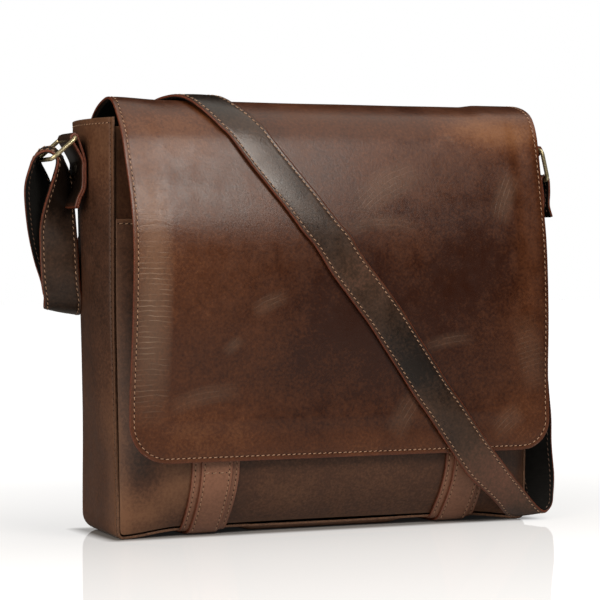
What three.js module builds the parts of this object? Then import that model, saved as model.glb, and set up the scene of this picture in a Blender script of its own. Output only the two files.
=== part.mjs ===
// Leather messenger bag: a soft hollow body under a long flap, standing upright on its base,
// with its shoulder strap passed once round the body.
// Millimetres. +X is right and +Y is back, seen from the front, and +Z is up.
// The origin lies on the floor under the middle of the base.

import * as THREE from 'three';

// Driving dimensions of the body
const BASE_HALF_WIDTH = 188;
const TOP_HALF_WIDTH = 194;
const BODY_HEIGHT = 338;
const BASE_HALF_DEPTH = 43;
const FRONT_FLARE = 9;
const BACK_FLARE = 3;
const FLARE_START = 160;
const SIDE_BULGE = 10;
const SIDE_BULGE_HEIGHT = 220;
const FRONT_CORNER = 6;
const BACK_CORNER = 15;
const FRONT_PANEL_TOP = 322;
const BACK_PANEL_TOP = 290;
const LEATHER = 2;
const LINING = 0.8;
const GAP = 0.3;
const PANEL_CLEARANCE = 0.7;

// The base stands on its ends, on the closure straps and on its sagging middle
const BASE_ARCH = 2 * (LEATHER + GAP);
const ARCH_ENDS = { full: 150, none: 168 };
const SAG_X = { full: 62, none: 84 };
const SAG_Y = { full: 22, none: 36 };

// Front pocket, which swells forward
const POCKET_TOP = 257;
const POCKET_SWELL = 24;
const POCKET_EDGE_POWER = 6;
const SWELL_HEIGHT = 57;
const SWELL_POWER = 2.2;
const SWELL_FALL = 220;
const MOUTH_SWELL = 0.3;

// Flap
const FLAP_CORNER = 26;
const FLAP_FIRST = 1;
const FLAP_LAST = 14;
const LINING_FIRST = 2.5;
const LINING_LAST = 13.9;
const LINING_MARGIN = 3;

// The drape runs up the back, over the ridge and down the front. y and z are its left and right ends
// and half is the flap's half width. The first and last rows carry the shoulder strap alone.
const DRAPE = [
  { leftY: 46.5, leftZ: 150, rightY: 46.5, rightZ: 150, half: 186 },
  { leftY: 47.4, leftZ: 262, rightY: 47.4, rightZ: 262, half: 186 },
  { leftY: 48.5, leftZ: 296, rightY: 48.5, rightZ: 296, half: 186 },
  { leftY: 40, leftZ: 321, rightY: 40, rightZ: 322, half: 186.5 },
  { leftY: 18, leftZ: 342, rightY: 18, rightZ: 344, half: 187.5 },
  { leftY: -8, leftZ: 352, rightY: -2, rightZ: 358, half: 189 },
  { leftY: -30, leftZ: 354, rightY: -22, rightZ: 358, half: 190 },
  { leftY: -48, leftZ: 341, rightY: -44, rightZ: 347, half: 190.5 },
  { leftY: -60, leftZ: 325, rightY: -57, rightZ: 328, half: 190.5 },
  { leftY: -71, leftZ: 298, rightY: -64, rightZ: 300, half: 190.5 },
  { leftY: -81, leftZ: 272, rightY: -69, rightZ: 272, half: 190.5 },
  { leftY: -87, leftZ: 240, rightY: -74.5, rightZ: 240, half: 190.5 },
  { leftY: -85, leftZ: 178, rightY: -78, rightZ: 178, half: 190.5 },
  { leftY: -78, leftZ: 115, rightY: -76.5, rightZ: 115, half: 190.5 },
  { leftY: -76.5, leftZ: 62.5, rightY: -75.5, rightZ: 62.5, half: 190.5 },
  { leftY: -72, leftZ: 22, rightY: -63, rightZ: 22, half: 190.5 },
];

// Closure straps: the middle of each, seen from the front
const CLOSURE_X = { left: -112, right: 118 };
const CLOSURE_WIDTH = 41;
const OVERLAY_WIDTH = 27;
const CLOSURE_TOP = 200;
const CLOSURE_BACK = 36;

// Rings of round wire, each between an upper bar in its tab and a lower bar in the strap
const WIRE_RADIUS = 1.8;
const RING_HALF_WIDTH = 20;
const RING_CORNER = 4.5;
const RINGS = {
  left: { sign: -1, upperX: 214, upperZ: 322.7, lowerX: 234.4, lowerZ: 305 },
  right: { sign: 1, upperX: 218.5, upperZ: 320.8, lowerX: 225, lowerZ: 294.5 },
};

// Ring tabs
const TAB_WIDTH = 32;
const TAB_END = 266;
const TAB_FLARE = 7;
const TAB_FLARE_RUN = 20;
const TAB_PRESSED_TOP = 304;
const RIVET_Z = 299;
const RIVET_RADIUS = 4.5;
const RIVET_HEIGHT = 2.2;

// Shoulder strap. Its run on the drape: t is the place along the drape, x its middle and lift its height.
const STRAP_WIDTH = 31.5;
const STRAP_RUN = [
  { t: 0.42, x: -200, lift: 3 },
  { t: 1, x: -163, lift: 2.2 },
  { t: 2, x: -149, lift: 2.2 },
  { t: 3, x: -136, lift: 3 },
  { t: 4, x: -124.5, lift: 5 },
  { t: 5, x: -116, lift: 6.5 },
  { t: 6, x: -108, lift: 6 },
  { t: 7, x: -98, lift: 4 },
  { t: 8, x: -83, lift: 2.6 },
  { t: 9, x: -64, lift: 2.2 },
  { t: 10, x: -43.5, lift: 2 },
  { t: 11, x: -18, lift: 2 },
  { t: 12, x: 30.5, lift: 2 },
  { t: 13, x: 77, lift: 2.2 },
  { t: 14, x: 118, lift: 2.4 },
  { t: 14.4, x: 133, lift: 2.4 },
];

// Free stretches of the strap: the middle of each section, and the yaw and rise of its cross line
const LEFT_TAIL = [
  { x: -209.5, y: 44, z: 207, yaw: 0, rise: 0 },
  { x: -222, y: 35, z: 240, yaw: 8, rise: 0 },
  { x: -232.6, y: 17, z: 277, yaw: 22, rise: 0 },
  { x: -240.5, y: 6, z: 296, yaw: 44, rise: 0 },
  { x: -243, y: 2, z: 303.5, yaw: 66, rise: 0 },
  { x: -240, y: 0, z: 308, yaw: 86, rise: 0 },
];
const LEFT_HANG = [
  { x: -229.5, y: 1, z: 296, yaw: 75, rise: 0 },
  { x: -224, y: 9.5, z: 281, yaw: 50, rise: 0 },
  { x: -219, y: 21, z: 255, yaw: 16, rise: 0 },
  { x: -214, y: 32.5, z: 224, yaw: 0, rise: -4 },
];
const RIGHT_RISE = [
  { x: 206, y: -43, z: 38, yaw: 27, rise: 0 },
  { x: 211, y: -30, z: 80, yaw: 42, rise: 0 },
  { x: 212, y: -15, z: 130, yaw: 66, rise: 0 },
  { x: 212, y: -4, z: 180, yaw: 84, rise: 0 },
  { x: 213, y: 0, z: 225, yaw: 90, rise: 0 },
  { x: 218.5, y: 0, z: 258, yaw: 90, rise: 0 },
  { x: 221.5, y: 0, z: 280, yaw: 90, rise: 0 },
];
const RIGHT_TAIL = [
  { x: 229, y: 0, z: 282, yaw: 90, rise: 0 },
  { x: 229, y: 0, z: 271, yaw: 90, rise: 0 },
  { x: 232, y: 0, z: 262, yaw: 90, rise: 0 },
];

// Folds of the strap: the middle of the bend, its radius and how far it slides along its own axis
const LEFT_FOLD = { x: -209.2, y: 45, z: 190, radius: 7, slide: 5, yaw: 2, rise: -13, steps: 7 };
const RIGHT_FOLD = { x: 183.5, y: -58, z: 19.5, radius: 11, slide: 34, yaw: 8, rise: 2, steps: 9 };

const smooth = (value, low, high) => THREE.MathUtils.smoothstep(value, low, high);
const mix = THREE.MathUtils.lerp;
const spread = (count, low, high) =>
  Array.from({ length: count + 1 }, (_, i) => mix(low, high, i / count));

// Body surfaces
const halfWidth = (z) => mix(BASE_HALF_WIDTH, TOP_HALF_WIDTH, z / BODY_HEIGHT);
const frontY = (z) => -BASE_HALF_DEPTH - FRONT_FLARE * smooth(z, FLARE_START, BODY_HEIGHT);
const backY = (z) => BASE_HALF_DEPTH + BACK_FLARE * smooth(z, FLARE_START, BODY_HEIGHT);
const sideBulge = (z) => SIDE_BULGE * smooth(z, 0, SIDE_BULGE_HEIGHT);
const rimHeight = (x) => BASE_ARCH * (1 - smooth(Math.abs(x), ARCH_ENDS.full, ARCH_ENDS.none));

function baseHeight(x, y) {
  const sagX = 1 - smooth(Math.abs(x), SAG_X.full, SAG_X.none);
  const sagY = 1 - smooth(Math.abs(y), SAG_Y.full, SAG_Y.none);
  return rimHeight(x) * (1 - sagX * sagY);
}

function swell(height) {
  if (height < SWELL_HEIGHT) {
    return 1 - (1 - height / SWELL_HEIGHT) ** SWELL_POWER;
  }
  const fall = Math.cos(Math.PI * (height - SWELL_HEIGHT) / SWELL_FALL);
  return MOUTH_SWELL + (1 - MOUTH_SWELL) * (1 + fall) / 2;
}

// A closed solid from a grid of triangles
function solid(points, triangles) {
  let volume = 0;
  for (const [a, b, c] of triangles) {
    volume += points[a].dot(points[b].clone().cross(points[c]));
  }
  const facing = volume > 0 ? triangles : triangles.map(([a, b, c]) => [a, c, b]);
  const geometry = new THREE.BufferGeometry();
  const coordinates = points.flatMap((point) => point.toArray());
  geometry.setAttribute('position', new THREE.Float32BufferAttribute(coordinates, 3));
  geometry.setIndex(facing.flat());
  geometry.computeVertexNormals();
  return geometry;
}

// A wall between two grids of the same size: rows of points on the outer and the inner face
function wall(outer, inner) {
  const rows = outer.length;
  const columns = outer[0].length;
  const points = [...outer.flat(), ...inner.flat()];
  const shift = rows * columns;
  const triangles = [];
  const quad = (a, b, c, d) => triangles.push([a, b, c], [a, c, d]);
  const at = (i, j) => i * columns + j;
  for (let i = 0; i + 1 < rows; i += 1) {
    for (let j = 0; j + 1 < columns; j += 1) {
      quad(at(i, j), at(i, j + 1), at(i + 1, j + 1), at(i + 1, j));
      quad(shift + at(i, j), shift + at(i + 1, j), shift + at(i + 1, j + 1), shift + at(i, j + 1));
    }
  }
  const edge = (a, b) => quad(a, shift + a, shift + b, b);
  for (let j = 0; j + 1 < columns; j += 1) {
    edge(at(0, j), at(0, j + 1));
    edge(at(rows - 1, j + 1), at(rows - 1, j));
  }
  for (let i = 0; i + 1 < rows; i += 1) {
    edge(at(i + 1, 0), at(i, 0));
    edge(at(i, columns - 1), at(i + 1, columns - 1));
  }
  return solid(points, triangles);
}

// Unit normals of a grid, from its neighbouring points
function gridNormals(grid) {
  const last = grid.length - 1;
  const end = grid[0].length - 1;
  return grid.map((row, i) => row.map((_, j) => {
    const along = grid[Math.min(i + 1, last)][j].clone().sub(grid[Math.max(i - 1, 0)][j]);
    const across = row[Math.min(j + 1, end)].clone().sub(row[Math.max(j - 1, 0)]);
    return along.cross(across).normalize();
  }));
}

// A sheet of leather: the grid moved along its normals by two distances
function sheet(grid, outside, inside) {
  const normals = gridNormals(grid);
  const moved = (distance) => grid.map((row, i) => row.map(
    (point, j) => point.clone().addScaledVector(normals[i][j], distance)));
  return wall(moved(outside), moved(inside));
}

const bag = new THREE.Group();

function addPiece(name, geometry, finish) {
  const piece = new THREE.Mesh(geometry, new THREE.MeshStandardMaterial(finish));
  piece.name = name;
  bag.add(piece);
}

const BODY_LEATHER = { color: 0x4a3024, roughness: 0.45, metalness: 0 };
const FLAP_LEATHER = { color: 0x56341f, roughness: 0.4, metalness: 0 };
const STRAP_LEATHER = { color: 0x4b372c, roughness: 0.4, metalness: 0 };
const BLACK_LINING = { color: 0x0d0d0c, roughness: 0.9, metalness: 0 };
const ANTIQUE_BRASS = { color: 0xb9a877, roughness: 0.3, metalness: 1 };
const DARK_RIVET = { color: 0x35302a, roughness: 0.35, metalness: 1 };

// Gusset: left side, base and right side in one strip
const GUSSET_ACROSS = [0, 0.08, 0.25, 0.42, 0.58, 0.75, 0.92, 1];
const GUSSET_SIDE_STEPS = 9;
const GUSSET_CORNER_STEPS = 4;
const GUSSET_BASE_X = [0, 0.17, 0.33, 0.4, 0.47, 0.64, 0.8, 0.835, 0.87, 0.905, 0.94, 1];

function gussetSide(sign, rise, across) {
  const radius = mix(FRONT_CORNER, BACK_CORNER, across);
  const z = mix(radius, BODY_HEIGHT, rise);
  const x = halfWidth(z) + sideBulge(z) * 4 * across * (1 - across);
  return new THREE.Vector3(sign * x, mix(frontY(z), backY(z), across), z);
}

function gussetCorner(sign, turn, across) {
  const radius = mix(FRONT_CORNER, BACK_CORNER, across);
  const x = halfWidth(radius) - radius * (1 - Math.cos(turn));
  const y = mix(frontY(radius), backY(radius), across);
  return new THREE.Vector3(sign * x, y, radius * (1 - Math.sin(turn)));
}

function gussetBase(run, across) {
  const radius = mix(FRONT_CORNER, BACK_CORNER, across);
  const x = run * (halfWidth(radius) - radius);
  const y = mix(frontY(0), backY(0), across);
  return new THREE.Vector3(x, y, baseHeight(x, y));
}

function gusset() {
  const rises = spread(GUSSET_SIDE_STEPS, 1, 0);
  const turns = spread(GUSSET_CORNER_STEPS, 0, Math.PI / 2).slice(1, -1);
  const runs = [...GUSSET_BASE_X.slice(1).reverse().map((run) => -run), ...GUSSET_BASE_X];
  const line = (point) => GUSSET_ACROSS.map(point);
  const grid = [
    ...rises.map((rise) => line((across) => gussetSide(-1, rise, across))),
    ...turns.map((turn) => line((across) => gussetCorner(-1, turn, across))),
    ...runs.map((run) => line((across) => gussetBase(run, across))),
    ...turns.reverse().map((turn) => line((across) => gussetCorner(1, turn, across))),
    ...rises.reverse().map((rise) => line((across) => gussetSide(1, rise, across))),
  ];
  return sheet(grid, 0, LEATHER);
}

// Panels inside the gusset's edges: their lower edge follows the base and its corners
const PANEL_ACROSS = [0, 0.2, 0.35, 0.5, 0.65, 0.78, 0.84, 0.9, 0.95, 0.98, 0.993, 1];
const PANEL_UP = [0, 0.04, 0.09, 0.15, 0.22, 0.32, 0.45, 0.58, 0.7, 0.82, 0.92, 1];
const SEAM = LEATHER + GAP;

function panelGrid(radius, top, depth, ups) {
  const edge = halfWidth(radius) - SEAM;
  const inner = radius - SEAM;
  const across = [...PANEL_ACROSS.slice(1).reverse().map((u) => -u), ...PANEL_ACROSS];
  return ups.map((up) => across.map((u) => {
    const past = Math.max(0, Math.abs(u) * edge - (halfWidth(radius) - radius));
    const corner = radius - Math.sqrt(Math.max(0, inner * inner - past * past));
    const bottom = corner + rimHeight(u * edge) + PANEL_CLEARANCE;
    const z = mix(bottom, top, up);
    const x = u * (halfWidth(z) - SEAM);
    return new THREE.Vector3(x, depth(x, z), z);
  }));
}

const PLAIN_UP = [0, 0.25, 0.5, 0.62, 0.74, 0.87, 1];
const frontPanelY = (x, z) => frontY(z) + SEAM;
const backPanelY = (x, z) => backY(z);

function pocketY(x, z) {
  const u = Math.min(1, Math.abs(x) / (halfWidth(z) - SEAM));
  const height = Math.max(0, z - SEAM - rimHeight(x));
  return frontY(z) - POCKET_SWELL * (1 - u ** POCKET_EDGE_POWER) * swell(height);
}

// The drape as a surface, ruled straight from its left end to its right end
const drapeEnd = (y, z) =>
  new THREE.CatmullRomCurve3(DRAPE.map((row) => new THREE.Vector3(0, row[y], row[z])));
const drapeLeft = drapeEnd('leftY', 'leftZ');
const drapeRight = drapeEnd('rightY', 'rightZ');
const DRAPE_SPANS = DRAPE.length - 1;
const DRAPE_NEARBY = 0.05;

function drapeHalf(t) {
  const row = Math.min(Math.floor(t), DRAPE_SPANS - 1);
  return mix(DRAPE[row].half, DRAPE[row + 1].half, t - row);
}

function drapePoint(t, x) {
  const half = drapeHalf(t);
  const left = drapeLeft.getPoint(t / DRAPE_SPANS);
  const right = drapeRight.getPoint(t / DRAPE_SPANS);
  const point = left.lerp(right, (x / half + 1) / 2);
  point.x = x;
  return point;
}

// Flap: whole width over the top, with its two lower corners rounded
const FLAP_ACROSS = [-1, -0.9, -0.45, 0, 0.45, 0.9, 1];
const FLAP_STEPS_PER_ROW = 3;
const FLAP_CORNER_STEPS = 6;

function flapGrid(first, last, corner, margin) {
  const drop = DRAPE[FLAP_LAST - 1].leftZ - DRAPE[FLAP_LAST].leftZ;
  const straight = last - corner / drop;
  const steps = Math.round((straight - first) * FLAP_STEPS_PER_ROW);
  const rows = spread(steps, first, straight).map((t) => ({ t, inset: margin }));
  for (const turn of spread(FLAP_CORNER_STEPS, 0, Math.PI / 2).slice(1)) {
    rows.push({
      t: straight + (last - straight) * Math.sin(turn),
      inset: margin + corner * (1 - Math.cos(turn)),
    });
  }
  return rows.map(({ t, inset }) => FLAP_ACROSS.map((u) => drapePoint(t, u * (drapeHalf(t) - inset))));
}

// Closure straps: down the pocket, round the rim and under the base
const CLOSURE_DOWN = [CLOSURE_TOP, 165, 130, 100, 75, 60, 48, 38, 30, 24, 18, 13, 9];
const CLOSURE_ACROSS = [-1, -0.33, 0.33, 1];
const CLOSURE_UNDER = [-40, -30, -10, 12, CLOSURE_BACK];
const RIM_OUT = 0.6;

function closureGrid(middle, width) {
  const rim = rimHeight(middle);
  const line = (point) => CLOSURE_ACROSS.map((u) => point(middle + u * width / 2));
  return [
    ...CLOSURE_DOWN.map((z) => line((x) => new THREE.Vector3(x, pocketY(x, z), z))),
    line((x) => new THREE.Vector3(x, frontY(0) - RIM_OUT, rim + RIM_OUT)),
    line((x) => new THREE.Vector3(x, frontY(0) + RIM_OUT, rim)),
    ...CLOSURE_UNDER.map((y) => line((x) => new THREE.Vector3(x, y, rim))),
  ];
}

// Ribbons: a strip of even width through sections, each a middle point, a cross line and the number
// of steps to the next section
const FREE_STEPS = 3;

function crossLine(yaw, rise) {
  const [turn, lift] = [yaw, rise].map(THREE.MathUtils.degToRad);
  return new THREE.Vector3(Math.cos(turn) * Math.cos(lift), Math.sin(turn) * Math.cos(lift), Math.sin(lift));
}

const freeSection = ({ x, y, z, yaw, rise }) => ({
  middle: new THREE.Vector3(x, y, z),
  cross: crossLine(yaw, rise),
  steps: FREE_STEPS,
});

// Sections on a smooth curve through the given ones
function refine(sections) {
  const curve = new THREE.CatmullRomCurve3(sections.map(({ middle }) => middle));
  const spans = sections.length - 1;
  const fine = [sections[0]];
  for (let span = 0; span < spans; span += 1) {
    const [from, to] = [sections[span].cross, sections[span + 1].cross];
    for (const part of spread(sections[span].steps, 0, 1).slice(1)) {
      const cross = from.clone().lerp(to, part).normalize();
      fine.push({ middle: curve.getPoint((span + part) / spans), cross });
    }
  }
  return fine;
}

function ribbon(sections, width, outside, inside) {
  const last = sections.length - 1;
  const faces = sections.map(({ middle, cross }, i) => {
    const before = middle.clone().sub(sections[Math.max(i - 1, 0)].middle).normalize();
    const after = sections[Math.min(i + 1, last)].middle.clone().sub(middle).normalize();
    const normal = before.add(after).normalize().cross(cross);
    const reach = cross.clone().multiplyScalar(width / 2 / normal.length());
    return { middle, normal: normal.normalize(), reach };
  });
  const lines = (distance) => faces.map(({ middle, normal, reach }) => {
    const centre = middle.clone().addScaledVector(normal, distance);
    return [centre.clone().sub(reach), centre.clone().add(reach)];
  });
  return wall(lines(outside), lines(inside));
}

// Sections round a bar along Y, from one angle to another, seen from the front with 0 at +X
function aroundBar(x, z, radius, from, to, steps) {
  return spread(steps, from, to).map((angle) => ({
    middle: new THREE.Vector3(x + radius * Math.cos(angle), 0, z + radius * Math.sin(angle)),
    cross: new THREE.Vector3(0, 1, 0),
    steps: 1,
  }));
}

// Sections round a fold, from its front to its back
function aroundFold({ x, y, z, radius, slide, yaw, rise, steps }) {
  const cross = crossLine(yaw, rise);
  return spread(steps, 0, Math.PI).map((angle) => {
    const middle = new THREE.Vector3(x, y - radius * Math.cos(angle), z - radius * Math.sin(angle));
    middle.addScaledVector(cross, slide * (angle / Math.PI - 0.5));
    return { middle, cross, steps: 1 };
  });
}

// The same sections, with free steps after the last one
const thenFree = (sections) => [...sections.slice(0, -1), { ...sections.at(-1), steps: FREE_STEPS }];

// Rings: round wire bent to a rectangle with rounded corners
const WIRE_SIDES = 8;
const RING_CORNER_STEPS = 4;

function ring({ sign, upperX, upperZ, lowerX, lowerZ }) {
  const upper = new THREE.Vector3(sign * upperX, 0, upperZ);
  const lower = new THREE.Vector3(sign * lowerX, 0, lowerZ);
  const centre = upper.clone().lerp(lower, 0.5);
  const long = lower.clone().sub(upper);
  const halfLong = long.length() / 2;
  long.normalize();
  const wide = new THREE.Vector3(0, 1, 0);
  const through = wide.clone().cross(long);
  const path = [];
  for (let corner = 0; corner < 4; corner += 1) {
    const alongSign = corner < 2 ? 1 : -1;
    const wideSign = corner === 0 || corner === 3 ? 1 : -1;
    for (const turn of spread(RING_CORNER_STEPS, 0, Math.PI / 2)) {
      const angle = turn + (corner * Math.PI) / 2;
      path.push({
        wide: wideSign * (RING_HALF_WIDTH - RING_CORNER) + RING_CORNER * Math.cos(angle),
        long: alongSign * (halfLong - RING_CORNER) + RING_CORNER * Math.sin(angle),
        out: wide.clone().multiplyScalar(Math.cos(angle)).addScaledVector(long, Math.sin(angle)),
      });
    }
  }
  const points = path.flatMap((step) => spread(WIRE_SIDES, 0, 2 * Math.PI).slice(1).map((angle) => (
    centre.clone().addScaledVector(wide, step.wide).addScaledVector(long, step.long)
      .addScaledVector(step.out, WIRE_RADIUS * Math.cos(angle))
      .addScaledVector(through, WIRE_RADIUS * Math.sin(angle)))));
  const triangles = [];
  path.forEach((_, i) => {
    const next = (i + 1) % path.length;
    for (let j = 0; j < WIRE_SIDES; j += 1) {
      const k = (j + 1) % WIRE_SIDES;
      const [a, b] = [i * WIRE_SIDES + j, i * WIRE_SIDES + k];
      const [c, d] = [next * WIRE_SIDES + k, next * WIRE_SIDES + j];
      triangles.push([a, b, c], [a, c, d]);
    }
  });
  return solid(points, triangles);
}

// Ring tabs: a strip up the gusset, over the ring's upper bar and down on itself
const TAB_LAYER_STEPS = 5;
const TAB_LOOP_STEPS = 7;
const TAB_LOOP_CLOSE = 0.4;
const sideSurface = (z) => halfWidth(z) + sideBulge(z);
const tabFlare = (z) => TAB_FLARE * (1 - smooth(z, TAB_END, TAB_END + TAB_FLARE_RUN));

function tabSections({ sign, upperX, upperZ }) {
  const cross = new THREE.Vector3(0, sign, 0);
  const loop = WIRE_RADIUS + GAP;
  const heights = spread(TAB_LAYER_STEPS, TAB_END, TAB_PRESSED_TOP);
  const layer = (z, out) => ({
    middle: new THREE.Vector3(sign * (sideSurface(z) + tabFlare(z) + out), 0, z),
    cross,
    steps: 1,
  });
  const turns = spread(TAB_LOOP_STEPS, 0, Math.PI + TAB_LOOP_CLOSE);
  return [
    ...heights.map((z) => layer(z, SEAM)),
    ...turns.map((turn) => ({
      middle: new THREE.Vector3(sign * (upperX - loop * Math.cos(turn)), 0, upperZ + loop * Math.sin(turn)),
      cross,
      steps: 1,
    })),
    ...heights.reverse().map((z) => layer(z, SEAM + GAP)),
  ];
}

// Rivets: a low dome on the outside of each tab
const RIVET_RISE_STEPS = 5;
const RIVET_SIDES = 12;

function rivet(sign) {
  const rim = new THREE.EllipseCurve(0, 0, RIVET_RADIUS, RIVET_HEIGHT, 0, Math.PI / 2);
  const profile = [new THREE.Vector2(0, 0), ...rim.getPoints(RIVET_RISE_STEPS)];
  const dome = new THREE.LatheGeometry(profile, RIVET_SIDES);
  const seat = sideSurface(RIVET_Z) + SEAM + GAP + LEATHER + GAP;
  dome.rotateZ(-sign * Math.PI / 2);
  dome.translate(sign * seat, 0, RIVET_Z);
  return dome;
}

// Shoulder strap, from its left tail to its right tail
const QUARTER_LOOP_STEPS = 4;
const HALF_LOOP_STEPS = 7;

function strapRun() {
  const run = new THREE.CatmullRomCurve3(STRAP_RUN.map(({ t, x, lift }) => new THREE.Vector3(t, x, lift)));
  return spread((STRAP_RUN.length - 1) * FLAP_STEPS_PER_ROW, 0, 1).map((place) => {
    const { x: t, y: x, z: lift } = run.getPoint(place);
    const cross = drapePoint(t, x + 1).sub(drapePoint(t, x - 1)).normalize();
    const up = drapePoint(t + DRAPE_NEARBY, x).sub(drapePoint(t - DRAPE_NEARBY, x)).cross(cross).normalize();
    return { middle: drapePoint(t, x).addScaledVector(up, lift), cross, steps: 1 };
  });
}

function strapSections() {
  const { left, right } = RINGS;
  const loop = WIRE_RADIUS + GAP + LINING + GAP;
  return refine([
    ...LEFT_TAIL.map(freeSection),
    ...thenFree(aroundBar(-left.lowerX, left.lowerZ, loop, Math.PI / 2, 0, QUARTER_LOOP_STEPS)),
    ...LEFT_HANG.map(freeSection),
    ...thenFree(aroundFold(LEFT_FOLD)),
    ...thenFree(strapRun()),
    ...thenFree(aroundFold(RIGHT_FOLD)),
    ...RIGHT_RISE.map(freeSection),
    ...thenFree(aroundBar(right.lowerX, right.lowerZ, loop, Math.PI, 0, HALF_LOOP_STEPS)),
    ...RIGHT_TAIL.map(freeSection),
  ]);
}

const panel = (radius, top, depth, ups, inside) => sheet(panelGrid(radius, top, depth, ups), 0, inside);

// Assembly
addPiece('gusset', gusset(), BODY_LEATHER);
addPiece('front_panel', panel(FRONT_CORNER, FRONT_PANEL_TOP, frontPanelY, PLAIN_UP, LEATHER), BODY_LEATHER);
addPiece('back_panel', panel(BACK_CORNER, BACK_PANEL_TOP, backPanelY, PLAIN_UP, -LEATHER), BODY_LEATHER);
addPiece('front_pocket', panel(FRONT_CORNER, POCKET_TOP, pocketY, PANEL_UP, LEATHER), BODY_LEATHER);
addPiece('flap', sheet(flapGrid(FLAP_FIRST, FLAP_LAST, FLAP_CORNER, 0), 0, -LEATHER), FLAP_LEATHER);

const flapInside = flapGrid(LINING_FIRST, LINING_LAST, FLAP_CORNER, LINING_MARGIN);
addPiece('flap_lining', sheet(flapInside, -SEAM, -SEAM - LINING), BLACK_LINING);

const strap = strapSections();
addPiece('shoulder_strap', ribbon(strap, STRAP_WIDTH, LEATHER, 0), STRAP_LEATHER);
addPiece('shoulder_strap_backing', ribbon(strap, STRAP_WIDTH, -GAP, -GAP - LINING), BLACK_LINING);

for (const side of ['left', 'right']) {
  const base = closureGrid(CLOSURE_X[side], CLOSURE_WIDTH);
  const overlay = closureGrid(CLOSURE_X[side], OVERLAY_WIDTH);
  addPiece(`${side}_closure_strap`, sheet(base, GAP, SEAM), STRAP_LEATHER);
  addPiece(`${side}_closure_overlay`, sheet(overlay, GAP + SEAM, 2 * SEAM), STRAP_LEATHER);
  addPiece(`${side}_ring`, ring(RINGS[side]), ANTIQUE_BRASS);
  addPiece(`${side}_ring_tab`, ribbon(tabSections(RINGS[side]), TAB_WIDTH, LEATHER, 0), STRAP_LEATHER);
  addPiece(`${side}_tab_rivet`, rivet(RINGS[side].sign), DARK_RIVET);
}

export default bag;
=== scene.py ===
import math

import bpy
import numpy as np
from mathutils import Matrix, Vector, noise


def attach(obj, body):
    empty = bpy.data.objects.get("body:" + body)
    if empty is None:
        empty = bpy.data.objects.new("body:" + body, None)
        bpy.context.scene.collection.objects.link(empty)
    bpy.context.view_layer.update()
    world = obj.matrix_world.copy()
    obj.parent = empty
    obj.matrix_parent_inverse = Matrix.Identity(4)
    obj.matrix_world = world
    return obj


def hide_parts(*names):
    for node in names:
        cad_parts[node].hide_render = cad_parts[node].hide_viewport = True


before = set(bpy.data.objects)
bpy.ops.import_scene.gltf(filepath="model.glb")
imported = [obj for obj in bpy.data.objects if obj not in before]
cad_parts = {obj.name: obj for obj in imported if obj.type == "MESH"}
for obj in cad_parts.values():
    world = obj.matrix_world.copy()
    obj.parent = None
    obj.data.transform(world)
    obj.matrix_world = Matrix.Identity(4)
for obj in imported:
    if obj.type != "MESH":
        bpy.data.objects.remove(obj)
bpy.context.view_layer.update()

# Sizes are in millimetres, in the part's own frame, and meshes are made in metres.
MM = 0.001

# Body
BASE_HALF_WIDTH = 188
TOP_HALF_WIDTH = 194
BODY_HEIGHT = 338
BASE_HALF_DEPTH = 43
FRONT_FLARE = 6.5
BACK_FLARE = 3
BACK_PINCH = 8.5
FLARE_START = 160
SIDE_BULGE = 10
SIDE_BULGE_HEIGHT = 220
FRONT_CORNER = 6
BACK_CORNER = 15
FRONT_PANEL_TOP = 331
BACK_PANEL_TOP = 290
LEATHER = 2
LINING = 0.8
GAP = 0.3
SEAM = LEATHER + GAP
PANEL_CLEARANCE = 1.2
BASE_BOW = 10
BASE_BOW_HEIGHT = 70
BASE_ARCH = 2 * SEAM
ARCH_ENDS = {"full": 132, "none": 186}
SAG_X = {"full": 62, "none": 84}
SAG_Y = {"full": 22, "none": 36}

# Front pocket
POCKET_TOP = 257
POCKET_SWELL = 24
POCKET_EDGE_POWER = 6
SWELL_HEIGHT = 57
SWELL_POWER = 2.2
SWELL_FALL = 220
MOUTH_SWELL = 0.3

# Flap. The drape runs up the back, over the ridge and down the front: left and right are its y and z at
# the flap's two ends, and half is its half width there.
FLAP_CORNERS = {"left": 33, "right": 26}
FLAP_RIGHT_EXTRA = 2.4
# Places along the drape where the flap and its lining begin and end
FLAP_FIRST = 1
FLAP_LAST = 14
LINING_FIRST = 2.5
LINING_LAST = 13.9
LINING_MARGIN = 3
DRAPE = [
    {"left": (46.5, 150), "right": (46.5, 150), "half": 186},
    {"left": (47.4, 262), "right": (47.4, 262), "half": 186},
    {"left": (48.5, 296), "right": (48.5, 296), "half": 186},
    {"left": (40, 321), "right": (40, 322), "half": 186.5},
    {"left": (18, 341), "right": (18, 342.5), "half": 187.5},
    {"left": (-8, 351.2), "right": (-2, 355.8), "half": 189},
    {"left": (-30, 353.2), "right": (-22, 355.8), "half": 190},
    {"left": (-48, 341), "right": (-44, 347), "half": 190.5},
    {"left": (-60, 325), "right": (-57, 328), "half": 190.5},
    {"left": (-71, 298), "right": (-64, 300), "half": 190.5},
    {"left": (-81, 272), "right": (-69, 272), "half": 190.5},
    {"left": (-87, 240), "right": (-74.5, 240), "half": 190.5},
    {"left": (-85, 178), "right": (-78, 178), "half": 190.5},
    {"left": (-78, 115), "right": (-76.5, 115), "half": 190.5},
    {"left": (-76.5, 62.5), "right": (-75.5, 62.5), "half": 190.5},
    {"left": (-72, 22), "right": (-63, 22), "half": 190.5},
]

# Closure straps
CLOSURE_X = {"left": -112, "right": 118}
CLOSURE_WIDTH = 41
OVERLAY_WIDTH = 27
CLOSURE_TOP = 200
CLOSURE_BEND = 60
CLOSURE_LOW = 9
CLOSURE_UNDER = -32
CLOSURE_BACK = 36
CLOSURE_CROSS_ROW = 54
RIM_OUT = 0.6

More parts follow.
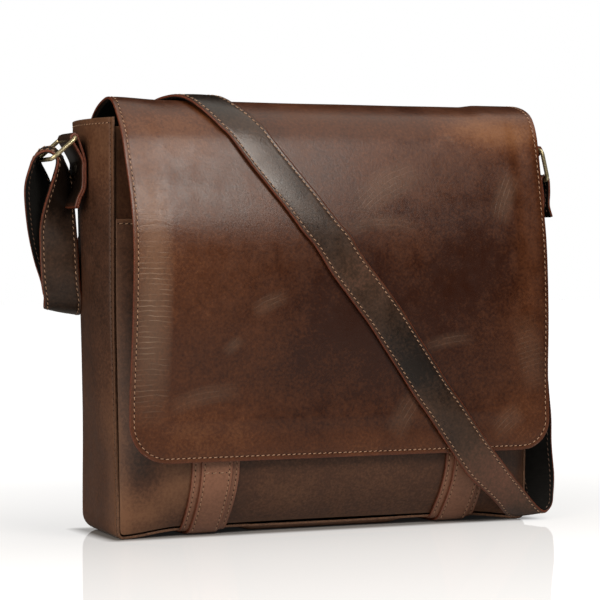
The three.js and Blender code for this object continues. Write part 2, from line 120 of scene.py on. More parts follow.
# Rings, tabs and rivets
WIRE_RADIUS = 1.8
WIRE_SIDES = 20
RING_HALF_WIDTH = 20
RING_CORNER = 4.5
RINGS = {
    "left": {"sign": -1, "upper": (214, 322.7), "lower": (234.4, 305)},
    "right": {"sign": 1, "upper": (218.5, 320.8), "lower": (225, 294.5)},
}
TAB_WIDTH = 32
TAB_STEP = 1.6
TAB_END = 266
TAB_FLARE = 7
TAB_FLARE_RUN = 20
TAB_PRESSED_TOP = 304
TAB_LOOP_CLOSE = 0.4
RIVET_Z = 299
RIVET_RADIUS = 4.5
RIVET_HEIGHT = 2.2

# Shoulder strap
STRAP_WIDTH = 31.5
# Its sections lie this far apart, it has waves this high, and its backing is this much narrower
STRAP_STEP = 2.6
STRAP_WAVES = 0.3
BACKING_SHARE = 0.985
# Patches of the strap drawn paler (above 0) or darker (below 0); the darkest, just under the left ring, is
# painted shade between the strap and the ring tab.
STRAP_TONE_AND_SHADE_PATCHES = [
    {"x": 150, "z": 40, "wide": 40, "high": 45, "tone": 0.45},
    {"x": -110, "z": 352, "wide": 30, "high": 14, "tone": -0.35},
    # Painted shade just under the left ring, between the strap and the tab
    {"x": -215, "z": 284, "wide": 26, "high": 18, "tone": -0.8},
    {"x": 5, "z": 217, "wide": 30, "high": 35, "tone": 0.17},
    {"x": 62, "z": 143, "wide": 40, "high": 40, "tone": -0.3},
]
# Its run on the drape: t is the place along the drape, x its middle and lift its height
STRAP_RUN = [
    {"t": 0.42, "x": -200, "lift": 3},
    {"t": 1, "x": -168, "lift": 2.2},
    {"t": 2, "x": -157, "lift": 2.2},
    {"t": 3, "x": -146, "lift": 3},
    {"t": 4, "x": -134.5, "lift": 2.4},
    {"t": 5, "x": -122.5, "lift": 3.2},
    {"t": 6, "x": -110.5, "lift": 3.2},
    {"t": 7, "x": -98, "lift": 2.6},
    {"t": 8, "x": -83, "lift": 2},
    {"t": 9, "x": -64, "lift": 2.2},
    {"t": 10, "x": -43.5, "lift": 2},
    {"t": 11, "x": -18, "lift": 2},
    {"t": 12, "x": 30.5, "lift": 2},
    {"t": 13, "x": 77, "lift": 2.2},
    {"t": 14, "x": 118, "lift": 2.4},
]
# Free stretches of the strap: the middle of each section, and the yaw and rise of its cross line
LEFT_TAIL = [
    {"middle": (-211.5, 28, 196), "yaw": 12, "rise": 0},
    {"middle": (-212.8, 29, 208), "yaw": 6, "rise": 0},
    {"middle": (-218, 27.5, 225), "yaw": 3, "rise": 0},
    {"middle": (-227.6, 17, 251), "yaw": 10, "rise": 0},
    {"middle": (-236.4, 7, 280.7), "yaw": 27, "rise": 2},
    {"middle": (-238.7, 4.6, 291.1), "yaw": 37, "rise": 4},
]
LEFT_LOOP = {
    "middle": (-231.6, 0, 303.5), "radius": 9.6, "yaw": 69, "rise": 8, "from": 8, "to": 172, "steps": 9,
}
LEFT_HANG = [
    {"middle": (-219.6, 0.5, 290.5), "yaw": 43, "rise": 4},
    {"middle": (-219.3, 8, 267.2), "yaw": 20, "rise": 0},
    {"middle": (-218.7, 12, 251), "yaw": 0, "rise": -2},
    {"middle": (-217.3, 14, 234.8), "yaw": -10, "rise": -4},
    {"middle": (-216.2, 14.5, 216), "yaw": -12, "rise": -8},
]
LEFT_FOLD = {
    "middle": (-209, 31, 199), "radius": 16, "slide": 11, "yaw": -10, "twist": 34, "rise": -10, "steps": 9,
}
# Right fold, off the flap's lower edge and round the bag's corner: the two edges of each section
RIGHT_FOLD = [
    {"left": (115, -76, 41), "right": (159, -72, 41)},
    {"left": (125.5, -74.5, 32.4), "right": (168, -69, 32.4)},
    {"left": (136.8, -71.5, 24.1), "right": (176.5, -66, 24)},
    {"left": (148, -66.5, 15.8), "right": (184.5, -64.5, 16)},
    {"left": (158, -58.5, 9), "right": (191.8, -64, 10)},
    {"left": (169.5, -50.5, 4.6), "right": (198.6, -63, 8)},
    {"left": (184.5, -48, 8.5), "right": (204.3, -60.5, 13)},
    {"left": (193.4, -36, 18), "right": (209.8, -54.5, 22)},
    {"left": (196, -24, 33.5), "right": (215, -48, 37)},
    {"left": (197, -20.5, 50), "right": (215, -45, 52)},
    {"left": (196.5, -19.5, 65), "right": (214, -44.5, 66)},
]
RIGHT_RISE = [
    {"middle": (205, -30.5, 84), "yaw": -50, "rise": 0},
    {"middle": (206, -24, 108), "yaw": -36, "rise": 0},
    {"middle": (210.5, -15, 136), "yaw": 14, "rise": 0},
    {"middle": (212, -4, 180), "yaw": 76, "rise": 0},
    {"middle": (213.5, 0, 225), "yaw": 90, "rise": 0},
    {"middle": (220.5, 0, 255), "yaw": 90, "rise": 0},
    {"middle": (224, 0, 275), "yaw": 90, "rise": 0},
]
RIGHT_TAIL = [
    {"middle": (228.8, 0, 284), "yaw": 90, "rise": 0},
    {"middle": (228.4, 0, 272), "yaw": 90, "rise": 0},
    {"middle": (231.5, 0, 262), "yaw": 90, "rise": 0},
]
FREE_STEPS = 3
RUN_STEPS = 3

# Stitching: one stitch every PITCH along rows that lie this far inside an edge
PITCH = 4.6
THREAD = {"length": 3.2, "width": 0.8, "height": 0.7}
THREAD_SLANT = 0.2
SLANT_SPREAD = 0.05
# Rows of stitches are drawn through points this far apart
ROW_STEP = 1.5
STITCH_SEED = 5
DARK_ROWS = ("gusset_seam_stitching", "strap_back_stitching")
HOLE = {"length": 1.15, "width": 0.95, "height": 0.3}
FLAP_ROW = 3.8
BACK_ROWS_APART = 6
BACK_ROW_END = 180
STRAP_ROW = 3.3
CLOSURE_ROW = 3.2
OVERLAY_ROW = 2.9
HEM_ROW = 4.2
SEAM_ROW = 3
POCKET_ROW = 4

# Distances from a cut edge at which a sheet has points, so that its edge and stitch row are drawn
EDGE_STEPS = [0, 0.8, 1.6, 2.4, 3.1, 3.8, 4.5, 5.3, 6.6, 8.5]
# The strip along an edge with such points: on panels and closures, and on the narrower straps
WIDE_MARGIN = 9
NARROW_MARGIN = 7


def smooth(value, low, high):
    t = np.clip((value - low) / (high - low), 0, 1)
    return t * t * (3 - 2 * t)


def mix(a, b, t):
    return a + (b - a) * t


def unit(vectors):
    return vectors / np.linalg.norm(vectors, axis=-1, keepdims=True)


def through(points, places):
    """A smooth centripetal curve through the points, at places counted in points."""
    points = np.asarray(points, float)
    places = np.asarray(places, float)
    ends = np.vstack([2 * points[0] - points[1], points, 2 * points[-1] - points[-2]])
    span = np.clip(np.floor(places).astype(int), 0, len(points) - 2)
    w = (places - span)[..., None]
    x0, x1, x2, x3 = (ends[span + k] for k in range(4))
    d0, d1, d2 = (
        np.maximum(np.sum((b - a) ** 2, axis=-1, keepdims=True) ** 0.25, 1e-4)
        for a, b in ((x0, x1), (x1, x2), (x2, x3))
    )
    start = ((x1 - x0) / d0 - (x2 - x0) / (d0 + d1) + (x2 - x1) / d1) * d1
    end = ((x2 - x1) / d1 - (x3 - x1) / (d1 + d2) + (x3 - x2) / d2) * d1
    return x1 + start * w + (3 * (x2 - x1) - 2 * start - end) * w**2 + (2 * (x1 - x2) + start + end) * w**3


def unevenness(points, size, seed):
    """Soft unevenness of the leather from -1 to 1, with lumps about this size."""
    flat = points.reshape(-1, 3) / size
    values = [noise.noise(Vector((x + seed, y - seed, z + 2 * seed))) for x, y, z in flat]
    return np.array(values).reshape(points.shape[:-1])


def run_along(points):
    """Distance along a line of points, from its start to each of them."""
    return np.concatenate([[0], np.cumsum(np.linalg.norm(np.diff(points, axis=0), axis=1))])


def edge_spread(length, step, margin):
    """Places from 0 to length: close together at both edges and this step apart in between."""
    near = [d for d in EDGE_STEPS if d < margin]
    count = max(2, round((length - 2 * margin) / step))
    middle = np.linspace(margin, length - margin, count + 1)
    return np.concatenate([near, middle, length - np.array(near[::-1])])


# Body surfaces
def half_width(z):
    return mix(BASE_HALF_WIDTH, TOP_HALF_WIDTH, z / BODY_HEIGHT)


def front_y(x, z):
    """The front, which the weight of the pocket draws back along the middle of the base."""
    middle = 1 - np.minimum(1, np.abs(x) / BASE_HALF_WIDTH) ** 2
    bow = BASE_BOW * middle * (1 - smooth(z, 0, BASE_BOW_HEIGHT))
    return bow - BASE_HALF_DEPTH - FRONT_FLARE * smooth(z, FLARE_START, BODY_HEIGHT)


def back_pinch(x, z):
    """How far the back is drawn in towards its side edges, most at middle height."""
    by_height = (0.4 + 0.6 * smooth(z, 0, 110)) * (1 - smooth(z, 262, 335))
    return BACK_PINCH * by_height * np.minimum(1, np.abs(x) / BASE_HALF_WIDTH) ** 4


def back_y(x, z):
    return BASE_HALF_DEPTH + BACK_FLARE * smooth(z, FLARE_START, BODY_HEIGHT) - back_pinch(x, z)


def side_bulge(z):
    return SIDE_BULGE * smooth(z, 0, SIDE_BULGE_HEIGHT)


def side_surface(z):
    return half_width(z) + side_bulge(z)


def rim_height(x):
    """Height of the base's rim: its ends stand on the floor and the closure straps pass under it."""
    return BASE_ARCH * (1 - smooth(np.abs(x), ARCH_ENDS["full"], ARCH_ENDS["none"]))


def base_height(x, y):
    """Height of the base, whose middle sags to the floor between the closure straps."""
    sag_x = 1 - smooth(np.abs(x), SAG_X["full"], SAG_X["none"])
    sag_y = 1 - smooth(np.abs(y), SAG_Y["full"], SAG_Y["none"])
    return rim_height(x) * (1 - sag_x * sag_y)


def swell(height):
    """How far the pocket stands out, as a share: most low down and least at its base and mouth."""
    low = 1 - (1 - np.clip(height / SWELL_HEIGHT, 0, 1)) ** SWELL_POWER
    fall = np.cos(np.pi * (height - SWELL_HEIGHT) / SWELL_FALL)
    high = MOUTH_SWELL + (1 - MOUTH_SWELL) * (1 + fall) / 2
    return np.where(height < SWELL_HEIGHT, low, high)


def pocket_y(x, z):
    u = np.minimum(1, np.abs(x) / (half_width(z) - SEAM))
    height = np.maximum(0, z - SEAM - rim_height(x))
    return front_y(x, z) - POCKET_SWELL * (1 - u**POCKET_EDGE_POWER) * swell(height)


# Meshes
def new_piece(name, points, faces, materials, slots=None, marks=None):
    """A plain mesh object from points in millimetres. marks are values at its points, for the materials."""
    mesh = bpy.data.meshes.new(name)
    mesh.from_pydata((np.asarray(points) * MM).tolist(), [], faces)
    for material in materials:
        mesh.materials.append(material)
    if slots is not None:
        mesh.polygons.foreach_set("material_index", np.asarray(slots, np.int32))
    mesh.polygons.foreach_set("use_smooth", np.ones(len(mesh.polygons), bool))
    for mark, values in (marks or {}).items():
        kind = "FLOAT" if np.ndim(values) == 1 else "FLOAT_VECTOR"
        attribute = mesh.attributes.new(mark, kind, "POINT")
        field = "value" if kind == "FLOAT" else "vector"
        attribute.data.foreach_set(field, np.asarray(values, np.float32).ravel())
    mesh.update()
    piece = bpy.data.objects.new(name, mesh)
    bpy.context.scene.collection.objects.link(piece)
    return piece


def grid_normals(grid):
    along = np.concatenate([grid[1:2] - grid[:1], grid[2:] - grid[:-2], grid[-1:] - grid[-2:-1]])
    across = np.concatenate(
        [grid[:, 1:2] - grid[:, :1], grid[:, 2:] - grid[:, :-2], grid[:, -1:] - grid[:, -2:-1]], axis=1
    )
    return unit(np.cross(along, across))


def rim_of(rows, columns):
    """Points of a grid's outline, once round."""
    at = np.arange(rows * columns).reshape(rows, columns)
    return np.concatenate([at[0, :-1], at[:-1, -1], at[-1, :0:-1], at[:0:-1, 0]])


def signed_volume(points, faces):
    corners = np.array([face[:3] for face in faces] + [(f[0], f[2], f[3]) for f in faces if len(f) == 4])
    a, b, c = (points[corners[:, k]] for k in range(3))
    return np.sum(a * np.cross(b, c))


def sheet_piece(name, face, outward, thickness, materials, marks=None, rim=0.4):
    """A closed sheet: its finished face is a grid, its back lies one thickness behind it, and its cut
    edge is rounded. materials are those of the face, the cut edge and the back."""
    rows, columns = face.shape[:2]
    count = rows * columns
    rim = min(rim, 0.45 * thickness)
    ring = rim_of(rows, columns)
    front = face.reshape(-1, 3).copy()
    out = outward.reshape(-1, 3)
    back = front - out * thickness
    at, n = front[ring].copy(), out[ring]
    sideways = unit(np.cross(np.roll(at, -1, 0) - np.roll(at, 1, 0), n))
    inner = np.clip(ring // columns, 1, rows - 2) * columns + np.clip(ring % columns, 1, columns - 2)
    if np.sum(sideways * (at - front[inner])) < 0:
        sideways = -sideways
    front[ring] = at - sideways * rim
    back[ring] = at - sideways * rim - n * thickness
    turns = np.radians([30, 60, 90])
    rings = [at + sideways * rim * (np.sin(a) - 1) - n * rim * (1 - np.cos(a)) for a in turns]
    rings += [
        at + sideways * rim * (np.sin(a) - 1) - n * (thickness - rim + rim * np.cos(a)) for a in turns[::-1]
    ]
    points = np.concatenate([front, back, *rings])
    size = len(ring)
    loops = [ring, *(2 * count + k * size + np.arange(size) for k in range(len(rings))), ring + count]
    cell = np.arange(count).reshape(rows, columns)
    a, b, c, d = (q.ravel() for q in (cell[:-1, :-1], cell[:-1, 1:], cell[1:, 1:], cell[1:, :-1]))
    quads = [np.stack([a, b, c, d], 1), np.stack([a, d, c, b], 1) + count]
    for near, far in zip(loops, loops[1:]):
        quads.append(np.stack([np.roll(near, -1), near, far, np.roll(far, -1)], 1))
    faces = np.concatenate(quads)
    slots = np.concatenate([np.zeros(len(a)), np.full(len(a), 2), np.ones(len(faces) - 2 * len(a))])
    if signed_volume(points, faces) < 0:
        faces = faces[:, ::-1]
    kept = {}
    for mark, values in (marks or {}).items():
        flat = values.reshape(count, *values.shape[2:])
        kept[mark] = np.concatenate([flat, flat, *([flat[ring]] * len(rings))])
    return new_piece(name, points, faces.tolist(), materials, slots, kept)


def swept_piece(name, path, frames, radius, sides, materials):
    """A closed loop of round wire: path points with their two cross directions."""
    angles = np.linspace(0, 2 * np.pi, sides, endpoint=False)
    first, second = frames
    points = (
        path[:, None]
        + radius * np.cos(angles)[None, :, None] * first[:, None]
        + radius * np.sin(angles)[None, :, None] * second[:, None]
    ).reshape(-1, 3)
    at = np.arange(len(path) * sides).reshape(len(path), sides)
    a, b = at, np.roll(at, -1, 1)
    c, d = np.roll(b, -1, 0), np.roll(a, -1, 0)
    faces = np.stack([q.ravel() for q in (a, b, c, d)], 1)
    if signed_volume(points, faces) < 0:
        faces = faces[:, ::-1]
    return new_piece(name, points, faces.tolist(), materials)


# Colours and materials
def linear(code):
    """An sRGB hex colour as linear red, green, blue and alpha."""
    channels = [int(code[k : k + 2], 16) / 255 for k in (1, 3, 5)]
    return [c / 12.92 if c <= 0.04045 else ((c + 0.055) / 1.055) ** 2.4 for c in channels] + [1.0]


def add(tree, kind, values=None, out=0, **settings):
    """Adds a node with its settings, values and links. Gives back one output, or all of them for None."""
    node = tree.nodes.new(kind)
    for name, setting in settings.items():
        setattr(node, name, setting)
    for socket, value in (values or {}).items():
        if isinstance(value, bpy.types.NodeSocket):
            tree.links.new(value, node.inputs[socket])
        else:
            node.inputs[socket].default_value = value
    if out is None or not node.outputs:
        return node.outputs
    return node.outputs[out]


def new_material(name):
    material = bpy.data.materials.new(name)
    material.use_nodes = True
    material.node_tree.nodes.clear()
    return material, material.node_tree


def finish_material(tree, values):
    shader = add(tree, "ShaderNodeBsdfPrincipled", values)
    add(tree, "ShaderNodeOutputMaterial", {"Surface": shader})


def per_metre(size_mm):
    """Repeats per metre of a pattern with this size in millimetres."""
    return 1 / (size_mm * MM)


# Oiled pull-up cowhide, drum-dyed and waxed: dark where the wax lies, paler and warmer where the hide is
# bent or rubbed, with a half-gloss that breaks up over a fine pebbled grain. Sizes are in millimetres, and
# the grain is drawn a little coarser than the real one so that it shows. Some of the tone is painted light:
# certain patches on the flap, the strap and the panels, and the pale wash over the flap's creases, are
# painted sheen and shade.
HIDE_CLOUDS = {
    "wax": {"size": 90, "detail": 3.0, "share": 0.5},
    "mottle": {"size": 15, "detail": 5.0, "share": 0.4},
    "fleck": {"size": 2.4, "detail": 3.0, "share": 0.85},
}
# Shades from the deep one upwards: the tone at which each begins, and at which it is full
HIDE_STEPS = [("middle", 0.12, 0.65), ("pulled", 0.6, 1.15)]
GRAIN_SIZE = 1.6
CREASE_SPACING = 2.1
CREASE_WANDER = 2
CREASE_SWAY = {"along": 24, "across": 14}
CREASE_BREAK = 15
CREASE_SHIFT = 2.85
CREASE_SHOWS = 0.9
# Share of the crease colour washed over a whole group of creases between its lines: painted sheen, strongest
# on the soft strip at the flap's left edge
CREASE_SHEEN_WASH = 0.3


def crease_lines(tree, crease):
    """How strongly the fine crease lines show: they lie side by side, wander and break off, over a faint
    wash of painted sheen across each group.
    """
    along, across, weight = add(tree, "ShaderNodeSeparateXYZ", {0: crease}, out=None)
    sway = (1 / CREASE_SWAY["along"], 1 / CREASE_SWAY["across"], 0)
    spread = add(tree, "ShaderNodeVectorMath", {0: crease, 1: sway}, operation="MULTIPLY")
    wander = add(tree, "ShaderNodeTexNoise", {"Vector": spread, "Scale": 1.0, "Detail": 2.0}, out="Fac")
    wander = add(tree, "ShaderNodeMath", {0: wander, 1: CREASE_WANDER}, operation="MULTIPLY")
    values = {0: across, 1: 1 / CREASE_SPACING, 2: wander}
    phase = add(tree, "ShaderNodeMath", values, operation="MULTIPLY_ADD")
    off_line = add(tree, "ShaderNodeMath", {0: phase, 1: 1.0}, operation="PINGPONG")
    values = {"Value": off_line, "From Min": 0.04, "From Max": 0.24, "To Min": 1.0, "To Max": 0.0}
    line = add(tree, "ShaderNodeMapRange", values)
    stretch = add(tree, "ShaderNodeMath", {0: along, 1: 1 / CREASE_BREAK}, operation="MULTIPLY")
    number = add(tree, "ShaderNodeMath", {0: phase, 1: 2.0}, operation="SNAP")
    number = add(tree, "ShaderNodeMath", {0: number, 1: CREASE_SHIFT}, operation="MULTIPLY")
    run = add(tree, "ShaderNodeCombineXYZ", {0: stretch, 1: number})
    broken = add(tree, "ShaderNodeTexNoise", {"Vector": run, "Scale": 1.0, "Detail": 1.0}, out="Fac")
    whole = add(tree, "ShaderNodeMapRange", {"Value": broken, "From Min": 0.42, "From Max": 0.62})
    creased = add(tree, "ShaderNodeMath", {0: line, 1: whole}, operation="MULTIPLY")
    # Painted sheen: inside a group the crease colour never falls below this share
    creased = add(tree, "ShaderNodeMapRange", {"Value": creased, "To Min": CREASE_SHEEN_WASH})
    return add(tree, "ShaderNodeMath", {0: creased, 1: weight}, operation="MULTIPLY")


def pull_up_leather(name, tones, roughness):
    material, tree = new_material(name)
    place = add(tree, "ShaderNodeTexCoord", out="Object")
    toned = add(tree, "ShaderNodeAttribute", out="Fac", attribute_name="tone")
    edge = add(tree, "ShaderNodeAttribute", out="Fac", attribute_name="edge")
    crease = add(tree, "ShaderNodeAttribute", out="Vector", attribute_name="crease")
    clouds = {}
    for cloud, row in HIDE_CLOUDS.items():
        values = {"Vector": place, "Scale": per_metre(row["size"]), "Detail": row["detail"]}
        clouds[cloud] = add(tree, "ShaderNodeTexNoise", values | {"Roughness": 0.58}, out="Fac")
        values = {0: clouds[cloud], 1: row["share"], 2: toned}
        toned = add(tree, "ShaderNodeMath", values, operation="MULTIPLY_ADD")
    level = sum(row["share"] for row in HIDE_CLOUDS.values()) / 2
    colour = linear(tones["deep"])
    for shade, low, high in HIDE_STEPS:
        values = {"Value": toned, "From Min": low + level, "From Max": high + level}
        share = add(tree, "ShaderNodeMapRange", values)
        values = {"Factor": share, 6: colour, 7: linear(tones[shade])}
        colour = add(tree, "ShaderNodeMix", values, out=2, data_type="RGBA")

    creased = crease_lines(tree, crease)
    share = add(tree, "ShaderNodeMath", {0: creased, 1: CREASE_SHOWS}, operation="MULTIPLY")
    values = {"Factor": share, 6: colour, 7: linear(tones["crease"])}
    colour = add(tree, "ShaderNodeMix", values, out=2, data_type="RGBA")

    # The wax is rubbed off within a few millimetres of a cut edge
    values = {"Value": edge, "From Min": 0.0, "From Max": 5.0, "To Min": 0.5, "To Max": 0.0}
    near = add(tree, "ShaderNodeMapRange", values)
    rubbed = add(tree, "ShaderNodeMath", {0: near, 1: clouds["mottle"]}, operation="MULTIPLY")
    values = {"Factor": rubbed, 6: colour, 7: linear(tones["worn"])}
    colour = add(tree, "ShaderNodeMix", values, out=2, data_type="RGBA")

    values = {"Value": clouds["mottle"], "From Min": 0.3, "From Max": 0.75}
    values |= {"To Min": roughness - 0.05, "To Max": roughness + 0.08}
    gloss = add(tree, "ShaderNodeMapRange", values)
    values = {"Vector": place, "Scale": per_metre(GRAIN_SIZE)}
    height = add(tree, "ShaderNodeTexVoronoi", values, out="Distance")
    height = add(tree, "ShaderNodeMath", {0: height, 1: 0.03}, operation="MULTIPLY")
    for source, deep in ((clouds["fleck"], 0.1), (creased, -0.12)):
        height = add(tree, "ShaderNodeMath", {0: source, 1: deep, 2: height}, operation="MULTIPLY_ADD")
    bump = add(tree, "ShaderNodeBump", {"Height": height, "Distance": MM, "Strength": 0.8})
    values = {"Base Color": colour, "Roughness": gloss, "Normal": bump}
    finish_material(tree, values | {"IOR": 1.48, "Specular IOR Level": 0.5})
    return material


# Sizes of the patterns on the other materials, in millimetres
FIBRE_SIZE = 2.2
RIB_SPACING = 1.2
FUZZ_SIZE = 5
TWIST_SIZE = 2.5
TARNISH_SIZE = 7


# Inside of the hide, where it is cut, sueded or pierced: two close tones in short fibres
def bare_fibre(name, colour, streak, roughness):
    material, tree = new_material(name)
    place = add(tree, "ShaderNodeTexCoord", out="Object")
    values = {"Vector": place, "Scale": per_metre(FIBRE_SIZE), "Detail": 5.0, "Roughness": 0.65}
    fibre = add(tree, "ShaderNodeTexNoise", values, out="Fac")
    share = add(tree, "ShaderNodeMapRange", {"Value": fibre, "From Min": 0.35, "From Max": 0.7})
    values = {"Factor": share, 6: linear(colour), 7: linear(streak)}
    mixed = add(tree, "ShaderNodeMix", values, out=2, data_type="RGBA")
    height = add(tree, "ShaderNodeMath", {0: fibre, 1: 0.12}, operation="MULTIPLY")
    bump = add(tree, "ShaderNodeBump", {"Height": height, "Distance": MM})
    finish_material(tree, {"Base Color": mixed, "Roughness": roughness, "Normal": bump})
    return material


# Cotton twill lining, piece-dyed black: dull, with fine diagonal ribs drawn 1.2 mm apart so that they show
def black_twill():
    material, tree = new_material("black cotton twill, woven")
    place = add(tree, "ShaderNodeTexCoord", out="Object")
    ribs_per_metre = per_metre(RIB_SPACING) / (2 * math.pi)
    values = {"Vector": place, "Scale": ribs_per_metre, "Distortion": 0.6, "Detail": 2.0}
    ribs = add(tree, "ShaderNodeTexWave", values, out="Fac", bands_direction="DIAGONAL")
    values = {"Vector": place, "Scale": per_metre(FUZZ_SIZE), "Detail": 6.0}
    fuzz = add(tree, "ShaderNodeTexNoise", values, out="Fac")
    values = {"Factor": fuzz, 6: linear("#050505"), 7: linear("#171614")}
    colour = add(tree, "ShaderNodeMix", values, out=2, data_type="RGBA")
    height = add(tree, "ShaderNodeMath", {0: ribs, 1: 0.1}, operation="MULTIPLY")
    bump = add(tree, "ShaderNodeBump", {"Height": height, "Distance": MM})
    values = {"Base Color": colour, "Roughness": 0.92, "Normal": bump, "Specular IOR Level": 0.2}
    finish_material(tree, values)
    return material


# Bonded polyester thread, waxed: tan or brown, twisted, with a slight sheen
def waxed_thread(name, pale, dark):
    material, tree = new_material(name)
    place = add(tree, "ShaderNodeTexCoord", out="Object")
    values = {"Vector": place, "Scale": per_metre(TWIST_SIZE), "Detail": 3.0}
    twist = add(tree, "ShaderNodeTexNoise", values, out="Fac")
    values = {"Factor": twist, 6: linear(pale), 7: linear(dark)}
    tint = add(tree, "ShaderNodeMix", values, out=2, data_type="RGBA")
    finish_material(tree, {"Base Color": tint, "Roughness": 0.55})
    return material


# Antique-finished brass, tumbled or blackened: warm metal with brown tarnish left in patches
def antique_brass(name, bright, tarnish, roughness):
    material, tree = new_material(name)
    place = add(tree, "ShaderNodeTexCoord", out="Object")
    values = {"Vector": place, "Scale": per_metre(TARNISH_SIZE), "Detail": 5.0, "Roughness": 0.6}
    patches = add(tree, "ShaderNodeTexNoise", values, out="Fac")
    share = add(tree, "ShaderNodeMapRange", {"Value": patches, "From Min": 0.42, "From Max": 0.68})
    values = {"Factor": share, 6: linear(bright), 7: linear(tarnish)}
    colour = add(tree, "ShaderNodeMix", values, out=2, data_type="RGBA")
    values = {"Value": share, "To Min": roughness, "To Max": roughness + 0.25}
    rough = add(tree, "ShaderNodeMapRange", values)
    finish_material(tree, {"Base Color": colour, "Metallic": 0.75, "Roughness": rough})
    return material


BODY_TONES = dict(deep="#2b190f", middle="#573827", pulled="#7d583f", crease="#7d5a40", worn="#7d5c42")
# On the flap the crease colour is pale and grey: partly the paling of the bent hide, partly painted sheen on
# the crease lines
FLAP_TONES = dict(deep="#301305", middle="#5a321a", pulled="#7c5030", crease="#a08874", worn="#74432d")
STRAP_TONES = dict(deep="#1a120d", middle="#473428", pulled="#724c3c", crease="#74543f", worn="#70432f")
CLOSURE_TONES = dict(deep="#43281d", middle="#6e4a39", pulled="#956a54", crease="#8a624c", worn="#84503c")
BODY_HIDE = pull_up_leather("oiled pull-up cowhide, body", BODY_TONES, 0.46)
FLAP_HIDE = pull_up_leather("oiled pull-up cowhide, flap", FLAP_TONES, 0.35)
STRAP_HIDE = pull_up_leather("oiled pull-up cowhide, shoulder strap", STRAP_TONES, 0.31)
CLOSURE_HIDE = pull_up_leather("oiled pull-up cowhide, closures", CLOSURE_TONES, 0.44)
# Painted and burnished: red-brown, a little uneven, half-gloss
PAINTED_EDGE = bare_fibre("cut hide edge, painted red-brown", "#552818", "#7d412a", 0.42)
# Left raw: paler tan and fibrous
RAW_EDGE = bare_fibre("cut hide edge, raw", "#533828", "#7d5a41", 0.7)
# Sueded: dull brown with a short nap
FLESH_SIDE = bare_fibre("flesh side of the hide, sueded", "#2c1c13", "#40291c", 0.9)
# Pierced by the needle: almost black
NEEDLE_HOLE = bare_fibre("needle hole in the hide", "#0c0604", "#160b07", 0.9)
TWILL = black_twill()
PALE_THREAD = waxed_thread("bonded polyester thread, waxed tan", "#c09e83", "#98765b")
DARK_THREAD = waxed_thread("bonded polyester thread, waxed brown", "#6d5140", "#4a372b")
BRASS = antique_brass("antique brass wire, tumbled", "#e0d5ae", "#857a58", 0.24)
RIVET_BRASS = antique_brass("antique brass rivet, blackened", "#3a342c", "#1c1915", 0.3)


def leather_marks(edge, tone, crease=None):
    """Marks kept at the points of a leather sheet, which its material reads."""
    return {
        "edge": edge,
        "tone": tone,
        "crease": np.zeros((*edge.shape, 3)) if crease is None else crease,
    }


def patched(points, patches):
    """Tone that soft-edged patches add, each round its own place on the front."""
    tone = np.zeros(points.shape[:-1])
    for patch in patches:
        dx, dz = points[..., 0] - patch["x"], points[..., 2] - patch["z"]
        tone += patch["tone"] * np.exp(-((dx / patch["wide"]) ** 2) - (dz / patch["high"]) ** 2)
    return tone


def outline_distance(grid):
    """Distance of each point of a grid from the grid's outline, along its rows and columns."""
    def lengths(steps, axis):
        total = np.cumsum(np.linalg.norm(steps, axis=-1), axis=axis)
        zero = np.zeros_like(np.take(total, [0], axis=axis))
        run = np.concatenate([zero, total], axis=axis)
        return np.minimum(run, np.take(run, [-1], axis=axis) - run)

    return np.minimum(lengths(np.diff(grid, axis=0), 0), lengths(np.diff(grid, axis=1), 1))


def pressed(edge, row, depth=0.28, width=1.1):
    """The shallow channel that a row of stitches pulls into the leather."""
    return -depth * np.exp(-(((edge - row) / width) ** 2))


def pared(edge, depth, run):
    """How far the leather thins towards a cut edge."""
    return depth * np.exp(-edge / run)


# Rows of stitches are collected here for each piece, as points and the way the leather faces there
sewn_rows = {}


def stitch_row(piece, points, facing, lift=0):
    sewn_rows.setdefault(piece, []).append((points + lift * facing, facing))


def show(piece, slot, *nodes):
    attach(piece, "root")
    if nodes:
        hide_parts(*nodes)


# Gusset: left side, base and right side in one strip. Each of its lines runs across it, from front to back.
GUSSET_STEP = 4.0
GUSSET_BASE_LINES = 95
GUSSET_DENT = 0.9
# The seam's row leaves out this many lines at its start
SEAM_START = 6


def gusset_radius(across):
    return mix(FRONT_CORNER, BACK_CORNER, across)


def upright_line(sign, x, z, across):
    y = mix(front_y(half_width(z), z), back_y(half_width(z), z), across)
    return np.stack([sign * x, y, z], -1)


def gusset_side(sign, up, across):
    z = mix(gusset_radius(across), BODY_HEIGHT, up)
    return upright_line(sign, half_width(z) + side_bulge(z) * 4 * across * (1 - across), z, across)


def gusset_corner(sign, turn, across):
    radius = gusset_radius(across)
    x = half_width(radius) - radius * (1 - np.cos(turn))
    return upright_line(sign, x, radius * (1 - np.sin(turn)), across)


def gusset_base(share, across):
    radius = gusset_radius(across)
    x = share * (half_width(radius) - radius)
    y = mix(front_y(x, 0.0), back_y(x, 0.0), across)
    return np.stack([x, y, base_height(x, y)], -1)


def gusset_tone(grid):
    """Paler low down near the front and towards the top, darker at middle height."""
    y, z = grid[..., 1], grid[..., 2]
    low_front = smooth(-y, 5, 42) * (1 - smooth(z, 30, 170))
    middle = smooth(z, 150, 200) * (1 - smooth(z, 260, 300))
    high = smooth(z, 270, 330) - 0.6 * middle
    return 0.5 + 0.2 * unevenness(grid, size=70, seed=9) + 0.4 * low_front + 0.25 * high


def stitch_gusset(lines, across, depth):
    """The hem's row at the top of one side, and the seam's row along its front edge."""
    side = np.array(lines)
    facing = -grid_normals(side)
    heights = side[..., 2].mean(1)
    hem = int(np.argmin(np.abs(heights - (BODY_HEIGHT - HEM_ROW))))
    inside = (across > 0.05) & (across < 0.95)
    stitch_row("gusset_stitching", side[hem, inside], facing[hem, inside], lift=-0.3)
    seam = int(np.argmin(np.abs(across * depth - SEAM_ROW)))
    along = slice(SEAM_START, None)
    stitch_row("gusset_seam_stitching", side[along, seam], facing[along, seam], lift=-0.4)


